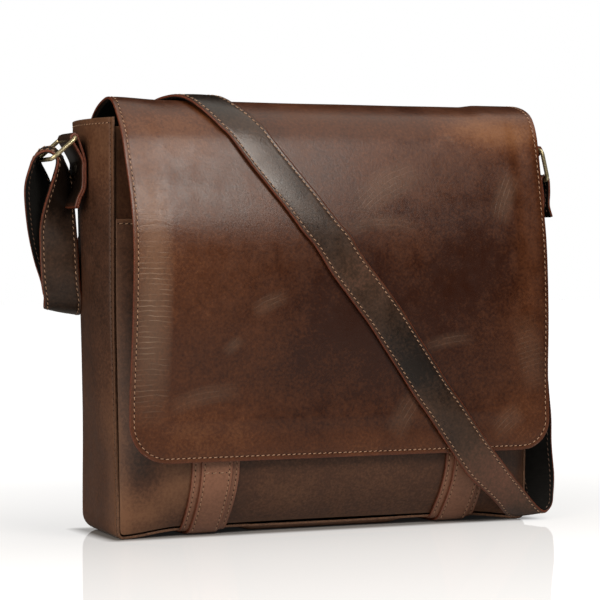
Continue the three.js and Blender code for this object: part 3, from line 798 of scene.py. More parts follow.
def make_gusset():
    depth = 2 * BASE_HALF_DEPTH
    across = edge_spread(depth, GUSSET_STEP, WIDE_MARGIN) / depth
    height = BODY_HEIGHT - FRONT_CORNER
    downs = np.concatenate([np.array(EDGE_STEPS), np.arange(11, height, GUSSET_STEP), [height]])
    rises = 1 - downs / height
    turns = np.linspace(0, np.pi / 2, 9)[1:-1]
    lines = [gusset_side(-1, up, across) for up in rises]
    lines += [gusset_corner(-1, turn, across) for turn in turns]
    lines += [gusset_base(share, across) for share in np.linspace(-1, 1, GUSSET_BASE_LINES)]
    lines += [gusset_corner(1, turn, across) for turn in turns[::-1]]
    lines += [gusset_side(1, up, across) for up in rises[::-1]]
    grid = np.array(lines)
    out = -grid_normals(grid)
    edge = outline_distance(grid)
    top = BODY_HEIGHT - grid[..., 2]
    calm = smooth(edge, 2, 22) * smooth(grid[..., 2], 18, 60)
    dents = GUSSET_DENT * (unevenness(grid, size=55, seed=3) - 1) * calm
    hem = pressed(np.where(edge < 12, top, 99), HEM_ROW, 0.35)
    grid = grid + out * (dents + hem + pressed(across * depth, SEAM_ROW, 0.5))[..., None]
    piece = sheet_piece(
        "gusset_hide", grid, -grid_normals(grid), LEATHER, [BODY_HIDE, RAW_EDGE, FLESH_SIDE],
        leather_marks(edge, gusset_tone(grid)),
    )
    for side in (lines[: len(rises)], lines[-len(rises):]):
        stitch_gusset(side, across, depth)
    show(piece, "body_leather", "gusset")


# Panels inside the gusset's edges: their lower edge follows the base and its corners
PANEL_STEP = 4.0
# Patches of the panels drawn paler (above 0) or darker (below 0). The dark ones at the pocket's left, by the
# flap's edge, are painted shade under the flap; the pale ones low at its left are partly painted highlight
# on its swell.
PANEL_TONE_SHADE_AND_HIGHLIGHT_PATCHES = [
    # Partly painted highlight on the pocket's swell, low at its left
    {"x": -140, "z": 42, "wide": 26, "high": 30, "tone": 0.6},
    {"x": -168, "z": 18, "wide": 18, "high": 18, "tone": 0.5},
    # Painted shade under the flap's lower left corner
    {"x": -171, "z": 62, "wide": 14, "high": 26, "tone": -0.4},
    {"x": -184, "z": 40, "wide": 7, "high": 60, "tone": 0.4},
    {"x": -40, "z": 30, "wide": 60, "high": 30, "tone": 0.25},
    # Painted shade under the flap's left edge
    {"x": -174, "z": 170, "wide": 8, "high": 80, "tone": -0.45},
]


def panel_grid(radius, top, depth_at):
    edge = half_width(radius) - SEAM
    inner = radius - SEAM
    across = edge_spread(2 * edge, PANEL_STEP, WIDE_MARGIN) / edge - 1
    ups = edge_spread(top, PANEL_STEP, WIDE_MARGIN) / top
    u, up = np.meshgrid(across, ups)
    past = np.maximum(0, np.abs(u) * edge - (half_width(radius) - radius))
    corner = radius - np.sqrt(np.maximum(0, inner**2 - past**2))
    bottom = corner + rim_height(u * edge) + PANEL_CLEARANCE
    z = mix(bottom, top, up)
    x = u * (half_width(z) - SEAM)
    return np.stack([x, depth_at(x, z), z], -1)


def make_panel(name, radius, top, depth_at, sign, relief, seed):
    """A body panel that faces the front (sign -1) or the back (1). Gives back its grid."""
    grid = panel_grid(radius, top, depth_at)
    out = sign * grid_normals(grid)
    edge = outline_distance(grid)
    grid = grid + out * relief(grid, edge)[..., None]
    rubbed_top = 0.5 * np.exp(-(top - grid[..., 2]) / 1.6)
    tone = 0.5 + 0.16 * unevenness(grid, size=80, seed=seed) + patched(grid, PANEL_TONE_SHADE_AND_HIGHLIGHT_PATCHES) + rubbed_top
    piece = sheet_piece(
        f"{name}_hide", grid, sign * grid_normals(grid), LEATHER, [BODY_HIDE, RAW_EDGE, FLESH_SIDE],
        leather_marks(edge, tone),
    )
    show(piece, "body_leather", name)
    return grid


def panel_dents(grid, edge):
    return 0.5 * (unevenness(grid, size=70, seed=5) - 1) * smooth(edge, 2, 25)


def pocket_hem(grid, _):
    return pressed(np.maximum(0, POCKET_TOP - grid[..., 2]), HEM_ROW)


def inner_front_y(x, z):
    return front_y(x, z) + SEAM


def make_body():
    make_gusset()
    make_panel("front_panel", FRONT_CORNER, FRONT_PANEL_TOP, inner_front_y, -1, panel_dents, seed=11)
    make_panel("back_panel", BACK_CORNER, BACK_PANEL_TOP, back_y, 1, panel_dents, seed=13)
    pocket = make_panel("front_pocket", FRONT_CORNER, POCKET_TOP, pocket_y, -1, pocket_hem, seed=17)
    facing = -grid_normals(pocket)
    row = int(np.argmin(np.abs(pocket[..., 2].mean(1) - (POCKET_TOP - POCKET_ROW))))
    inside = slice(2, -2)
    stitch_row("pocket_stitching", pocket[row, inside], facing[row, inside], lift=0.1)


# The drape as a surface, ruled straight from its left end to its right end
DRAPE_LEFT = [row["left"] for row in DRAPE]
DRAPE_RIGHT = [row["right"] for row in DRAPE]
DRAPE_HALF = [row["half"] for row in DRAPE]
DRAPE_PLACES = np.arange(len(DRAPE))


def drape(t, x):
    t, x = np.broadcast_arrays(np.asarray(t, float), np.asarray(x, float))
    half = np.interp(t, DRAPE_PLACES, DRAPE_HALF)
    yz = mix(through(DRAPE_LEFT, t), through(DRAPE_RIGHT, t), ((x / half + 1) / 2)[..., None])
    return np.concatenate([x[..., None], yz], -1)


def drape_facing(t, x):
    along = drape(t + 0.02, x) - drape(t - 0.02, x)
    across = drape(t, x + 1) - drape(t, x - 1)
    return unit(np.cross(along, across))


# Distance down the flap, measured on its middle line
FINE_T = np.linspace(FLAP_FIRST, FLAP_LAST, 2601)
FINE_RUN = run_along(drape(FINE_T, np.zeros_like(FINE_T)))
FLAP_LENGTH = FINE_RUN[-1]

# Groups of fine creases on the flap, at the middle of each: angle is the way they run, from level
FLAP_CREASES = [
    {"x": -174, "z": 195, "angle": 0, "long": 18, "wide": 105, "weight": 1.0},
    {"x": 36, "z": 284, "angle": 30, "long": 40, "wide": 16, "weight": 0.4},
    {"x": 25, "z": 255, "angle": 4, "long": 42, "wide": 8, "weight": 0.3},
    {"x": 152, "z": 277, "angle": 65, "long": 24, "wide": 12, "weight": 0.45},
    {"x": -73, "z": 190, "angle": 24, "long": 18, "wide": 8, "weight": 0.4},
    {"x": 52, "z": 96, "angle": 60, "long": 22, "wide": 12, "weight": 0.35},
    {"x": 92, "z": 157, "angle": 10, "long": 26, "wide": 7, "weight": 0.3},
    {"x": 173, "z": 145, "angle": 14, "long": 15, "wide": 36, "weight": 0.3},
    {"x": -128, "z": 116, "angle": 12, "long": 34, "wide": 9, "weight": 0.35},
    {"x": -104, "z": 156, "angle": 40, "long": 10, "wide": 6, "weight": 0.4},
    {"x": 152, "z": 88, "angle": 40, "long": 18, "wide": 12, "weight": 0.3},
    {"x": 105, "z": 326, "angle": -38, "long": 7, "wide": 2, "weight": 0.5},
]
# Patches of the flap drawn paler (above 0) or darker (below 0). The pale ones on the soft strip at its left
# edge and at the right end of the ridge are painted sheen, where the flap tilts up towards the lights.
FLAP_TONE_AND_SHEEN_PATCHES = [
    # Painted sheen on the soft strip at the flap's left edge
    {"x": -175, "z": 258, "wide": 17, "high": 52, "tone": 0.28},
    {"x": -118, "z": 215, "wide": 40, "high": 40, "tone": 0.16},
    {"x": -140, "z": 88, "wide": 60, "high": 24, "tone": 0.24},
    {"x": 115, "z": 190, "wide": 75, "high": 90, "tone": -0.28},
    {"x": 0, "z": 168, "wide": 72, "high": 60, "tone": -0.32},
    {"x": 172, "z": 200, "wide": 14, "high": 100, "tone": 0.2},
    # Painted sheen at the right end of the ridge
    {"x": 148, "z": 338, "wide": 46, "high": 20, "tone": 0.95},
    {"x": -150, "z": 330, "wide": 50, "high": 30, "tone": 0.25},
    {"x": 60, "z": 72, "wide": 130, "high": 12, "tone": 0.12},
    {"x": 160, "z": 90, "wide": 30, "high": 26, "tone": 0.12},
]
# Groups of creases are drawn as if this far apart, so that no two break off alike
CREASE_APART = 300
# How far the ends of the ridge stand up, where the stiffener inside ends, and how the right edge rolls
RIDGE_ENDS = {"left": 1.9, "right": 1.7}
STIFFENER = {"inset": 21, "run": 13, "rise": 0.95}
ROLL = {"run": 10, "drop": 2.4}


def flap_edge(x, down, half):
    """Distance from the flap's outline, with its two lower corners rounded."""
    side = np.where(x < 0, half + x, half + FLAP_RIGHT_EXTRA - x)
    low = FLAP_LENGTH - down
    radius = np.where(x < 0, FLAP_CORNERS["left"], FLAP_CORNERS["right"])
    rounded = radius - np.hypot(radius - side, radius - low)
    at_corner = (side < radius) & (low < radius)
    return np.minimum(np.where(at_corner, rounded, np.minimum(side, low)), down)


def drawn_in(points):
    """How far the flap and the strap follow the back where it is drawn in."""
    return back_pinch(points[..., 0], points[..., 2]) * smooth(points[..., 1], 15, 42)


def flap_soft(points, edge):
    """The flap's soft relief: the stiffener inside it ends short of the edges, the hide is a little
    uneven, the right edge rolls back and the back is drawn in with the body."""
    x, y, z = (points[..., k] for k in range(3))
    front = smooth(-y, 30, 62)
    inset = STIFFENER["inset"]
    step = STIFFENER["rise"] * smooth(edge, inset, inset + STIFFENER["run"]) * front
    rolled = np.clip(1 - (DRAPE_HALF[-1] + FLAP_RIGHT_EXTRA - x) / ROLL["run"], 0, 1) ** 2
    rolled = rolled * front * smooth(z, 90, 140) * (1 - smooth(z, 318, 340))
    uneven = 0.45 * unevenness(points, size=85, seed=21) * smooth(edge, 4, 40)
    ends = RIDGE_ENDS["left"] * smooth(-x, 140, 184) + RIDGE_ENDS["right"] * smooth(x, 136, 154)
    return step + uneven + ends * smooth(z, 334, 352) - ROLL["drop"] * rolled - drawn_in(points)


def left_creases(points):
    """Level creases across the soft strip at the flap's left edge."""
    x, z = points[..., 0], points[..., 2]
    draw = np.random.default_rng(7)
    window = smooth(-x, 158, 172) * (1 - smooth(-x, 186, 190)) * smooth(-points[..., 1], 40, 70)
    depth = np.zeros_like(x)
    level = 104.0
    while level < 285:
        wobble = 0.9 * np.sin(x / draw.uniform(6, 11) + draw.uniform(0, 6))
        tilt = draw.uniform(-0.05, 0.05) * (x + 175)
        line = np.exp(-(((z - level - wobble - tilt) / 1.1) ** 2))
        depth -= draw.uniform(0.05, 0.14) * line
        level += draw.uniform(4.2, 8.5)
    return depth * window


def flap_marks(points, edge):
    x, z = points[..., 0], points[..., 2]
    front = smooth(-points[..., 1], 35, 60)
    tone = 0.42 + 0.12 * unevenness(points, size=60, seed=27) + patched(points, FLAP_TONE_AND_SHEEN_PATCHES) * front
    crease = np.zeros((*x.shape, 3))
    for number, group in enumerate(FLAP_CREASES):
        turn = math.radians(group["angle"])
        dx, dz = x - group["x"], z - group["z"]
        along = dx * math.cos(turn) + dz * math.sin(turn)
        across = dz * math.cos(turn) - dx * math.sin(turn) + 0.004 * along**2
        lengthwise = np.clip(1 - (along / group["long"]) ** 2, 0, 1)
        crosswise = np.clip(1 - (across / group["wide"]) ** 2, 0, 1)
        weight = group["weight"] * front * (lengthwise * crosswise)
        stronger = weight > crease[..., 2]
        local = np.stack([along + CREASE_APART * number, across, weight], -1)
        crease = np.where(stronger[..., None], local, crease)
    return leather_marks(edge, tone, crease)


# Lines of points on the flap: distances from its lower edge, from its sides, and the columns between these
FLAP_LOW_STEPS = [33, 29.5, 26, 22.5, 19, 16, 13, 10.5, 8.5, 6.8, 5.4, 4.5, 3.8, 3.1, 2.3, 1.5, 0.8, 0]
FLAP_SIDE_STEPS = np.concatenate([EDGE_STEPS, np.arange(10.5, 36, 2.0)])
FLAP_SIDE_STRIP = 37
FLAP_MIDDLE_COLUMNS = 96
RIDGE_SHARE = 0.36


def flap_grid(first, last, margin, step_back, step_front):
    start, end = np.interp([first, last], FINE_T, FINE_RUN)
    near = np.array(EDGE_STEPS)
    ridge = RIDGE_SHARE * FLAP_LENGTH
    top = np.arange(start + near[-1] + step_back, ridge, step_back)
    front = np.arange(ridge, end - max(FLAP_CORNERS.values()) - step_front / 2, step_front)
    downs = np.concatenate([start + near, top, front, end - np.array(FLAP_LOW_STEPS)])
    ts = np.interp(downs, FINE_RUN, FINE_T)
    half = np.interp(ts, DRAPE_PLACES, DRAPE_HALF)
    reach = {}
    for side, radius in FLAP_CORNERS.items():
        rounding = np.clip(radius - (end - downs), 0, radius)
        reach[side] = half - margin - radius + np.sqrt(np.maximum(0, radius**2 - rounding**2))
    reach["right"] += FLAP_RIGHT_EXTRA
    xs = []
    for left, right in zip(reach["left"], reach["right"]):
        inner = np.linspace(FLAP_SIDE_STRIP - left, right - FLAP_SIDE_STRIP, FLAP_MIDDLE_COLUMNS)
        xs.append(np.concatenate([FLAP_SIDE_STEPS - left, inner, right - FLAP_SIDE_STEPS[::-1]]))
    x = np.array(xs)
    t = np.repeat(ts[:, None], x.shape[1], 1)
    down = np.repeat(downs[:, None], x.shape[1], 1)
    edge = np.maximum(flap_edge(x, down, half[:, None]), 0)
    return drape(t, x), drape_facing(t, x), edge


def make_flap():
    grid, facing, edge = flap_grid(FLAP_FIRST, FLAP_LAST, margin=0, step_back=3.0, step_front=1.75)
    relief = flap_soft(grid, edge) + left_creases(grid) + pressed(edge, FLAP_ROW)
    face = grid + facing * relief[..., None]
    piece = sheet_piece(
        "flap_hide", face, grid_normals(face), LEATHER, [FLAP_HIDE, PAINTED_EDGE, FLESH_SIDE],
        flap_marks(grid, edge), rim=0.5,
    )
    show(piece, "flap_leather", "flap")


def make_flap_lining():
    grid, facing, edge = flap_grid(LINING_FIRST, LINING_LAST, LINING_MARGIN, step_back=6.0, step_front=6.0)
    inside = grid + facing * (flap_soft(grid, edge) - SEAM)[..., None]
    piece = sheet_piece("flap_lining_twill", inside, grid_normals(inside), LINING, [TWILL] * 3, rim=0.2)
    show(piece, "black_lining", "flap_lining")


def flap_path(x, down):
    """Points of the finished flap and the way it faces, for rows of stitches."""
    t = np.interp(down, FINE_RUN, FINE_T)
    points, facing = drape(t, x), drape_facing(t, x)
    half = np.interp(t, DRAPE_PLACES, DRAPE_HALF)
    relief = flap_soft(points, np.maximum(flap_edge(x, down, half), 0)) - 0.2
    return points + facing * relief[..., None], facing


def stitch_flap():
    half = DRAPE_HALF[-1]
    turns = np.linspace(0, np.pi / 2, 24)
    sides = {}
    for side, radius in FLAP_CORNERS.items():
        low = FLAP_LENGTH - radius
        downs = np.arange(FLAP_ROW, low, 2.0)
        halves = np.interp(np.interp(downs, FINE_RUN, FINE_T), DRAPE_PLACES, DRAPE_HALF) - FLAP_ROW
        reach = np.concatenate([halves, half - radius + (radius - FLAP_ROW) * np.cos(turns)])
        sides[side] = reach, np.concatenate([downs, low + (radius - FLAP_ROW) * np.sin(turns)])
    (left, left_down), (right, right_down) = sides["left"], sides["right"]
    right = right + FLAP_RIGHT_EXTRA
    across = np.arange(2 - left[-1], right[-1] - 1, 2.0)
    x = np.concatenate([-left, across, right[::-1]])
    down = np.concatenate([left_down, np.full_like(across, FLAP_LENGTH - FLAP_ROW), right_down[::-1]])
    stitch_row("flap_stitching", *flap_path(x, down))
    across = np.arange(-BACK_ROW_END, BACK_ROW_END + 1, 2.0)
    for row in (FLAP_ROW, FLAP_ROW + BACK_ROWS_APART):
        stitch_row("flap_stitching", *flap_path(across, np.full_like(across, row)))


# Closure straps: down the pocket, round the rim and under the base
def closure_line():
    """Heights of its lines down the pocket, closer together low down, and their places under the base."""
    upper = np.arange(CLOSURE_TOP, CLOSURE_BEND, -4.0)
    lower = np.arange(CLOSURE_BEND, CLOSURE_LOW, -2.0)
    under = np.arange(CLOSURE_UNDER, CLOSURE_BACK + 1, 4.0)
    return np.concatenate([upper, lower, [CLOSURE_LOW]]), under


def closure_grid(middle, xs):
    rim = rim_height(float(middle))
    down, under = closure_line()
    lines = [np.stack([xs, pocket_y(xs, np.full_like(xs, z)), np.full_like(xs, z)], -1) for z in down]
    lip = float(front_y(middle, 0.0))
    for y, z in [(lip - RIM_OUT, rim + RIM_OUT), (lip + RIM_OUT, rim)] + [(y, rim) for y in under]:
        lines.append(np.stack([xs, np.full_like(xs, y), np.full_like(xs, z)], -1))
    return np.array(lines)


def smoothed(grid, rounds):
    """The grid with its sharp bends eased along its length."""
    for _ in range(rounds):
        grid = np.concatenate([grid[:1], (grid[:-2] + 2 * grid[1:-1] + grid[2:]) / 4, grid[-1:]])
    return grid


def stitch_closure(face, facing, xs, row):
    """A row along each long edge of a closure strap, down to the rim."""
    front = slice(1, len(closure_line()[0]))
    for place in (xs[0] + row, xs[-1] - row):
        column = int(np.argmin(np.abs(xs - place)))
        stitch_row("closure_stitching", face[front, column], facing[front, column], lift=0.1)


def stitch_across(face, facing, xs, row):
    """A row straight across a closure strap, just below the flap."""
    heights = closure_line()[0]
    line = int(np.argmin(np.abs(heights - CLOSURE_CROSS_ROW)))
    inside = (xs > xs[0] + row) & (xs < xs[-1] - row)
    stitch_row("closure_stitching", face[line, inside], facing[line, inside], lift=0.2)


def closure_piece(name, middle, width, lift, row):
    xs = middle - width / 2 + edge_spread(width, 2.5, WIDE_MARGIN)
    base = closure_grid(middle, xs)
    facing = grid_normals(base)
    edge = np.minimum(xs - xs[0], xs[-1] - xs)[None, :] + np.zeros(base.shape[:2])
    relief = lift + pressed(edge, row) - pared(edge, depth=0.3, run=0.8)
    face = smoothed(base + facing * relief[..., None], 5)
    tone = 1.0 + 0.16 * unevenness(face, size=45, seed=31)
    piece = sheet_piece(
        f"{name}_hide", face, grid_normals(face), LEATHER, [CLOSURE_HIDE, PAINTED_EDGE, FLESH_SIDE],
        leather_marks(edge, tone), rim=0.7,
    )
    show(piece, "strap_leather", name)
    stitch_closure(face, facing, xs, row)
    return face, facing, xs


def make_closure(side):
    middle = CLOSURE_X[side]
    closure_piece(f"{side}_closure_strap", middle, CLOSURE_WIDTH, SEAM, CLOSURE_ROW)
    overlay = closure_piece(f"{side}_closure_overlay", middle, OVERLAY_WIDTH, 2 * SEAM, OVERLAY_ROW)
    stitch_across(*overlay, OVERLAY_ROW)


# Ribbons: a strip of even width through sections, each a middle point and a cross line
def cross_line(yaw, rise):
    turn, lift = math.radians(yaw), math.radians(rise)
    return np.array([math.cos(turn) * math.cos(lift), math.sin(turn) * math.cos(lift), math.sin(lift)])


# A section is its middle, its cross line, the steps to the next one and its half length where that is given
def free_sections(rows):
    sections = []
    for row in rows:
        middle = np.array(row["middle"], float)
        sections.append((middle, cross_line(row["yaw"], row["rise"]), FREE_STEPS, 0))
    return sections


def edge_sections(rows):
    sections = []
    for row in rows:
        left, right = np.array(row["left"], float), np.array(row["right"], float)
        half = np.linalg.norm(right - left) / 2
        sections.append(((left + right) / 2, unit(right - left), FREE_STEPS, half))
    return sections


def then_free(sections):
    """The sections, with as many steps after the last as on a free stretch."""
    middle, cross, _, half = sections[-1]
    return sections[:-1] + [(middle, cross, FREE_STEPS, half)]


def around_bar(bar):
    """Sections round a bar from its left side over the top to its right side."""
    cross = cross_line(bar["yaw"], bar["rise"])
    right = cross_line(bar["yaw"] - 90, 0)
    up = np.cross(right, cross)
    middle = np.array(bar["middle"], float)
    return [
        (middle + bar["radius"] * (up * math.sin(a) - right * math.cos(a)), cross, 1, 0)
        for a in np.radians(np.linspace(bar["from"], bar["to"], bar["steps"] + 1))
    ]


def around_fold(fold):
    """Sections round the bend of a fold, which slides and twists as it turns up."""
    x, y, z = fold["middle"]
    sections = []
    for a in np.linspace(0, math.pi, fold["steps"] + 1):
        cross = cross_line(fold["yaw"] + fold["twist"] * smooth(a, 0, math.pi), fold["rise"])
        middle = np.array([x, y - fold["radius"] * math.cos(a), z - fold["radius"] * math.sin(a)])
        sections.append((middle + cross * fold["slide"] * (a / math.pi - 0.5), cross, 1, 0))
    return sections


def strap_run():
    """Sections of the strap that lie on the drape: up the back, over the ridge and down the flap."""
    rows = [(row["t"], row["x"], row["lift"]) for row in STRAP_RUN]
    sections = []
    for t, x, lift in through(rows, np.linspace(0, len(rows) - 1, (len(rows) - 1) * RUN_STEPS + 1)):
        cross = unit(drape(t, x + 1) - drape(t, x - 1))
        facing = drape_facing(np.array(t), np.array(x))
        point = drape(t, x)
        down = np.interp(t, FINE_T, FINE_RUN)
        half = np.interp(t, DRAPE_PLACES, DRAPE_HALF)
        on_flap = FLAP_FIRST < t < FLAP_LAST
        soft = flap_soft(point, np.maximum(flap_edge(x, down, half), 0)) if on_flap else -drawn_in(point)
        sections.append((point + facing * (lift + soft), cross, 1, 0))
    return sections


def refined(sections):
    """Sections on a smooth curve through the given ones: middles, cross lines, and the share of each half
    length that is given."""
    places = [0.0]
    for span, section in enumerate(sections[:-1]):
        places += list(span + np.linspace(0, 1, section[2] + 1)[1:])
    places = np.array(places)
    span = np.clip(np.floor(places).astype(int), 0, len(sections) - 2)
    crosses = np.array([section[1] for section in sections])
    halves = np.array([section[3] for section in sections], float)
    shares = np.stack([halves, halves > 0], 1)
    along = (places - span)[:, None]
    cross = unit(mix(crosses[span], crosses[span + 1], along))
    middles = through([section[0] for section in sections], places)
    return middles, cross, mix(shares[span], shares[span + 1], along)


def evenly(middles, crosses, shares, step):
    """The same ribbon with sections this far apart."""
    places = np.linspace(0, len(middles) - 1, 20 * len(middles))
    fine = through(middles, places)
    run = run_along(fine)
    wanted = np.interp(np.linspace(0, run[-1], round(run[-1] / step) + 1), run, places)
    span = np.clip(np.floor(wanted).astype(int), 0, len(middles) - 2)
    along = (wanted - span)[:, None]
    cross = unit(smoothed(mix(crosses[span], crosses[span + 1], along), 12))
    return through(middles, wanted), cross, smoothed(mix(shares[span], shares[span + 1], along), 4), run[-1]


def strap_sections():
    x, z = RINGS["right"]["lower"]
    loop = WIRE_RADIUS + GAP + LINING + GAP
    right_loop = {"middle": (x, 0, z), "radius": loop, "yaw": 90, "rise": 0}
    right_loop |= {"from": 0, "to": 180, "steps": 7}
    return refined(
        free_sections(LEFT_TAIL)
        + then_free(around_bar(LEFT_LOOP))
        + free_sections(LEFT_HANG)
        + then_free(around_fold(LEFT_FOLD))
        + then_free(strap_run())
        + edge_sections(RIGHT_FOLD)
        + free_sections(RIGHT_RISE)
        + then_free(around_bar(right_loop))
        + free_sections(RIGHT_TAIL)
    )


def ribbon_frames(middles, crosses, shares, width):
    """The way each section faces, and its reach from the middle to one side."""
    step = unit(np.diff(middles, axis=0))
    heading = unit(np.concatenate([step[:1], step[:-1] + step[1:], step[-1:]]))
    facing = np.cross(heading, crosses)
    slant = np.linalg.norm(facing, axis=1, keepdims=True)
    half = shares[:, :1] + (1 - shares[:, 1:]) * width / 2 / slant
    return facing / slant, crosses * half


def ribbon_face(middles, facing, reach, us, heights):
    return middles[:, None] + reach[:, None] * us[None, :, None] + facing[:, None] * heights[None, :, None]


def ribbon_places(width, step):
    """Places across a ribbon: from -1 to 1, and as distances from its nearer side."""
    places = edge_spread(width, step, NARROW_MARGIN)
    return places / (width / 2) - 1, np.minimum(places, width - places)


def ribbon_edge(from_side, length, count):
    """Distance from a ribbon's outline, for this many sections."""
    runs = np.linspace(0, length, count)
    return np.minimum(from_side[None, :], np.minimum(runs, length - runs)[:, None])


def stitch_strap(name, face, us, outward):
    """A row along each long edge of the strap's face or backing."""
    normals = grid_normals(face)
    inside = slice(2, -2)
    for sign in (-1, 1):
        column = int(np.argmin(np.abs(us - sign * (1 - STRAP_ROW / (STRAP_WIDTH / 2)))))
        seat = normals[:, column] * np.sign((normals[:, column] * outward).sum(1, keepdims=True))
        stitch_row(name, face[inside, column], seat[inside], lift=0.1)


def make_strap():
    middles, crosses, shares, length = evenly(*strap_sections(), STRAP_STEP)
    facing, reach = ribbon_frames(middles, crosses, shares, STRAP_WIDTH)
    us, from_side = ribbon_places(STRAP_WIDTH, 2.2)
    crown = 0.25 * smooth(from_side, 4, 14) + pressed(from_side, STRAP_ROW)
    crown = crown - pared(from_side, depth=0.45, run=0.9)
    face = ribbon_face(middles, facing, reach, us, LEATHER + crown)
    waves = STRAP_WAVES * unevenness(face, size=30, seed=43) * smooth(from_side, 2, 9)[None, :]
    face = face + facing[:, None] * waves[..., None]
    tone = 0.45 + 0.2 * unevenness(face, size=48, seed=41) + patched(face, STRAP_TONE_AND_SHADE_PATCHES)
    out = np.repeat(facing[:, None], len(us), 1)
    strap = sheet_piece(
        "shoulder_strap_hide", face, out, LEATHER - 0.1, [STRAP_HIDE, PAINTED_EDGE, FLESH_SIDE],
        leather_marks(ribbon_edge(from_side, length, len(middles)), tone), rim=0.7,
    )
    show(strap, "strap_leather", "shoulder_strap")
    under = ribbon_face(middles, facing, reach * BACKING_SHARE, us, np.full(len(us), -GAP - LINING))
    backing = sheet_piece("shoulder_strap_twill", under, -out, LINING, [TWILL] * 3, rim=0.25)
    show(backing, "black_lining", "shoulder_strap_backing")
    stitch_strap("strap_stitching", face, us, facing)
    stitch_strap("strap_back_stitching", under, us, -facing)


# Ring tabs: a strip up the gusset, over the ring's upper bar and down on itself
def tab_sections(ring):
    sign = ring["sign"]
    upper_x, upper_z = ring["upper"]
    loop = WIRE_RADIUS + GAP
    heights = np.linspace(TAB_END, TAB_PRESSED_TOP, 6)
    cross = np.array([0.0, sign, 0])

    def layer(z, out):
        flare = TAB_FLARE * (1 - smooth(z, TAB_END, TAB_END + TAB_FLARE_RUN))
        return np.array([sign * (side_surface(z) + flare + out), 0, z])

    middles = [layer(z, SEAM) for z in heights]
    for turn in np.linspace(0, math.pi + TAB_LOOP_CLOSE, 8):
        x, z = upper_x - loop * math.cos(turn), upper_z + loop * math.sin(turn)
        middles.append(np.array([sign * x, 0, z]))
    middles += [layer(z, SEAM + GAP) for z in heights[::-1]]
    return np.array(middles), np.tile(cross, (len(middles), 1)), np.zeros((len(middles), 2))


def make_tab(side):
    middles, crosses, shares, length = evenly(*tab_sections(RINGS[side]), TAB_STEP)
    facing, reach = ribbon_frames(middles, crosses, shares, TAB_WIDTH)
    us, from_side = ribbon_places(TAB_WIDTH, 2.5)
    face = ribbon_face(middles, facing, reach, us, LEATHER - pared(from_side, depth=0.35, run=0.9))
    out = np.repeat(facing[:, None], len(us), 1)
    # Painted shade: below the loop the tab is drawn in the deep tone, for the shade between the strap and
    # the bag; the loop over the ring has the strap's own tone
    tone = 1.1 * smooth(face[..., 2], 304, 324) - 0.7
    name = f"{side}_ring_tab"
    piece = sheet_piece(
        f"{name}_hide", face, out, LEATHER - 0.05, [STRAP_HIDE, PAINTED_EDGE, FLESH_SIDE],
        leather_marks(ribbon_edge(from_side, length, len(middles)), tone), rim=0.7,
    )
    show(piece, "strap_leather", name)


# Rings: round wire bent to a rectangle with rounded corners, its ends soldered
def make_ring(side):
    ring = RINGS[side]
    upper = np.array([ring["sign"] * ring["upper"][0], 0, ring["upper"][1]])
    lower = np.array([ring["sign"] * ring["lower"][0], 0, ring["lower"][1]])
    half_long = np.linalg.norm(lower - upper) / 2
    long, wide = unit(lower - upper), np.array([0.0, 1, 0])
    through_ring = np.cross(wide, long)
    path, outs = [], []
    for corner in range(4):
        along_sign = 1 if corner < 2 else -1
        wide_sign = 1 if corner in (0, 3) else -1
        for a in np.linspace(0, math.pi / 2, 10) + corner * math.pi / 2:
            w = wide_sign * (RING_HALF_WIDTH - RING_CORNER) + RING_CORNER * math.cos(a)
            v = along_sign * (half_long - RING_CORNER) + RING_CORNER * math.sin(a)
            path.append((upper + lower) / 2 + wide * w + long * v)
            outs.append(wide * math.cos(a) + long * math.sin(a))
    frames = (np.array(outs), np.tile(through_ring, (len(path), 1)))
    wire = swept_piece(f"{side}_ring_wire", np.array(path), frames, WIRE_RADIUS, WIRE_SIDES, [BRASS])
    show(wire, "antique_brass", f"{side}_ring")


# Rivets: a low dome with a flat rim on the outside of each tab. Shares of the radius and of the height, from
# the middle of the dome out to its rim.
RIVET_SIDES = 40
RIVET_PROFILE = [(0.25, 0.97), (0.5, 0.86), (0.68, 0.68), (0.8, 0.45), (0.86, 0.3), (1.0, 0.24), (1.0, 0.0)]


def make_rivet(side):
    sign = RINGS[side]["sign"]
    seat = sign * (side_surface(RIVET_Z) + SEAM + GAP + LEATHER + GAP)
    angles = np.linspace(0, 2 * math.pi, RIVET_SIDES, endpoint=False)
    points = [(seat + sign * RIVET_HEIGHT, 0, RIVET_Z)]
    for share, height in RIVET_PROFILE:
        radius = RIVET_RADIUS * share
        x = seat + sign * RIVET_HEIGHT * height
        points += [(x, radius * math.cos(a), RIVET_Z + radius * math.sin(a)) for a in angles]
    points.append((seat, 0, RIVET_Z))
    spots = np.arange(RIVET_SIDES)
    rings = [1 + number * RIVET_SIDES + spots for number in range(len(RIVET_PROFILE))]
    faces = [(0, a, b) for a, b in zip(rings[0], np.roll(rings[0], -1))]
    for low, high in zip(rings, rings[1:]):
        faces += list(zip(low, high, np.roll(high, -1), np.roll(low, -1)))
    faces += [(b, a, len(points) - 1) for a, b in zip(rings[-1], np.roll(rings[-1], -1))]
    points = np.array(points)
    if signed_volume(points, faces) < 0:
        faces = [face[::-1] for face in faces]
    head = new_piece(f"{side}_tab_rivet_head", points, faces, [RIVET_BRASS])
    show(head, "dark_rivet", f"{side}_tab_rivet")


# Stitches: one tree lays a thread, or the mark of the needle, at even steps along each row
STITCH_INPUTS = [
    ("Pitch", "NodeSocketFloat"),
    ("Length", "NodeSocketFloat"),
    ("Width", "NodeSocketFloat"),
    ("Height", "NodeSocketFloat"),
    ("Shift", "NodeSocketFloat"),
    ("Slant", "NodeSocketFloat"),
    ("Seed", "NodeSocketInt"),
    ("Material", "NodeSocketMaterial"),
]


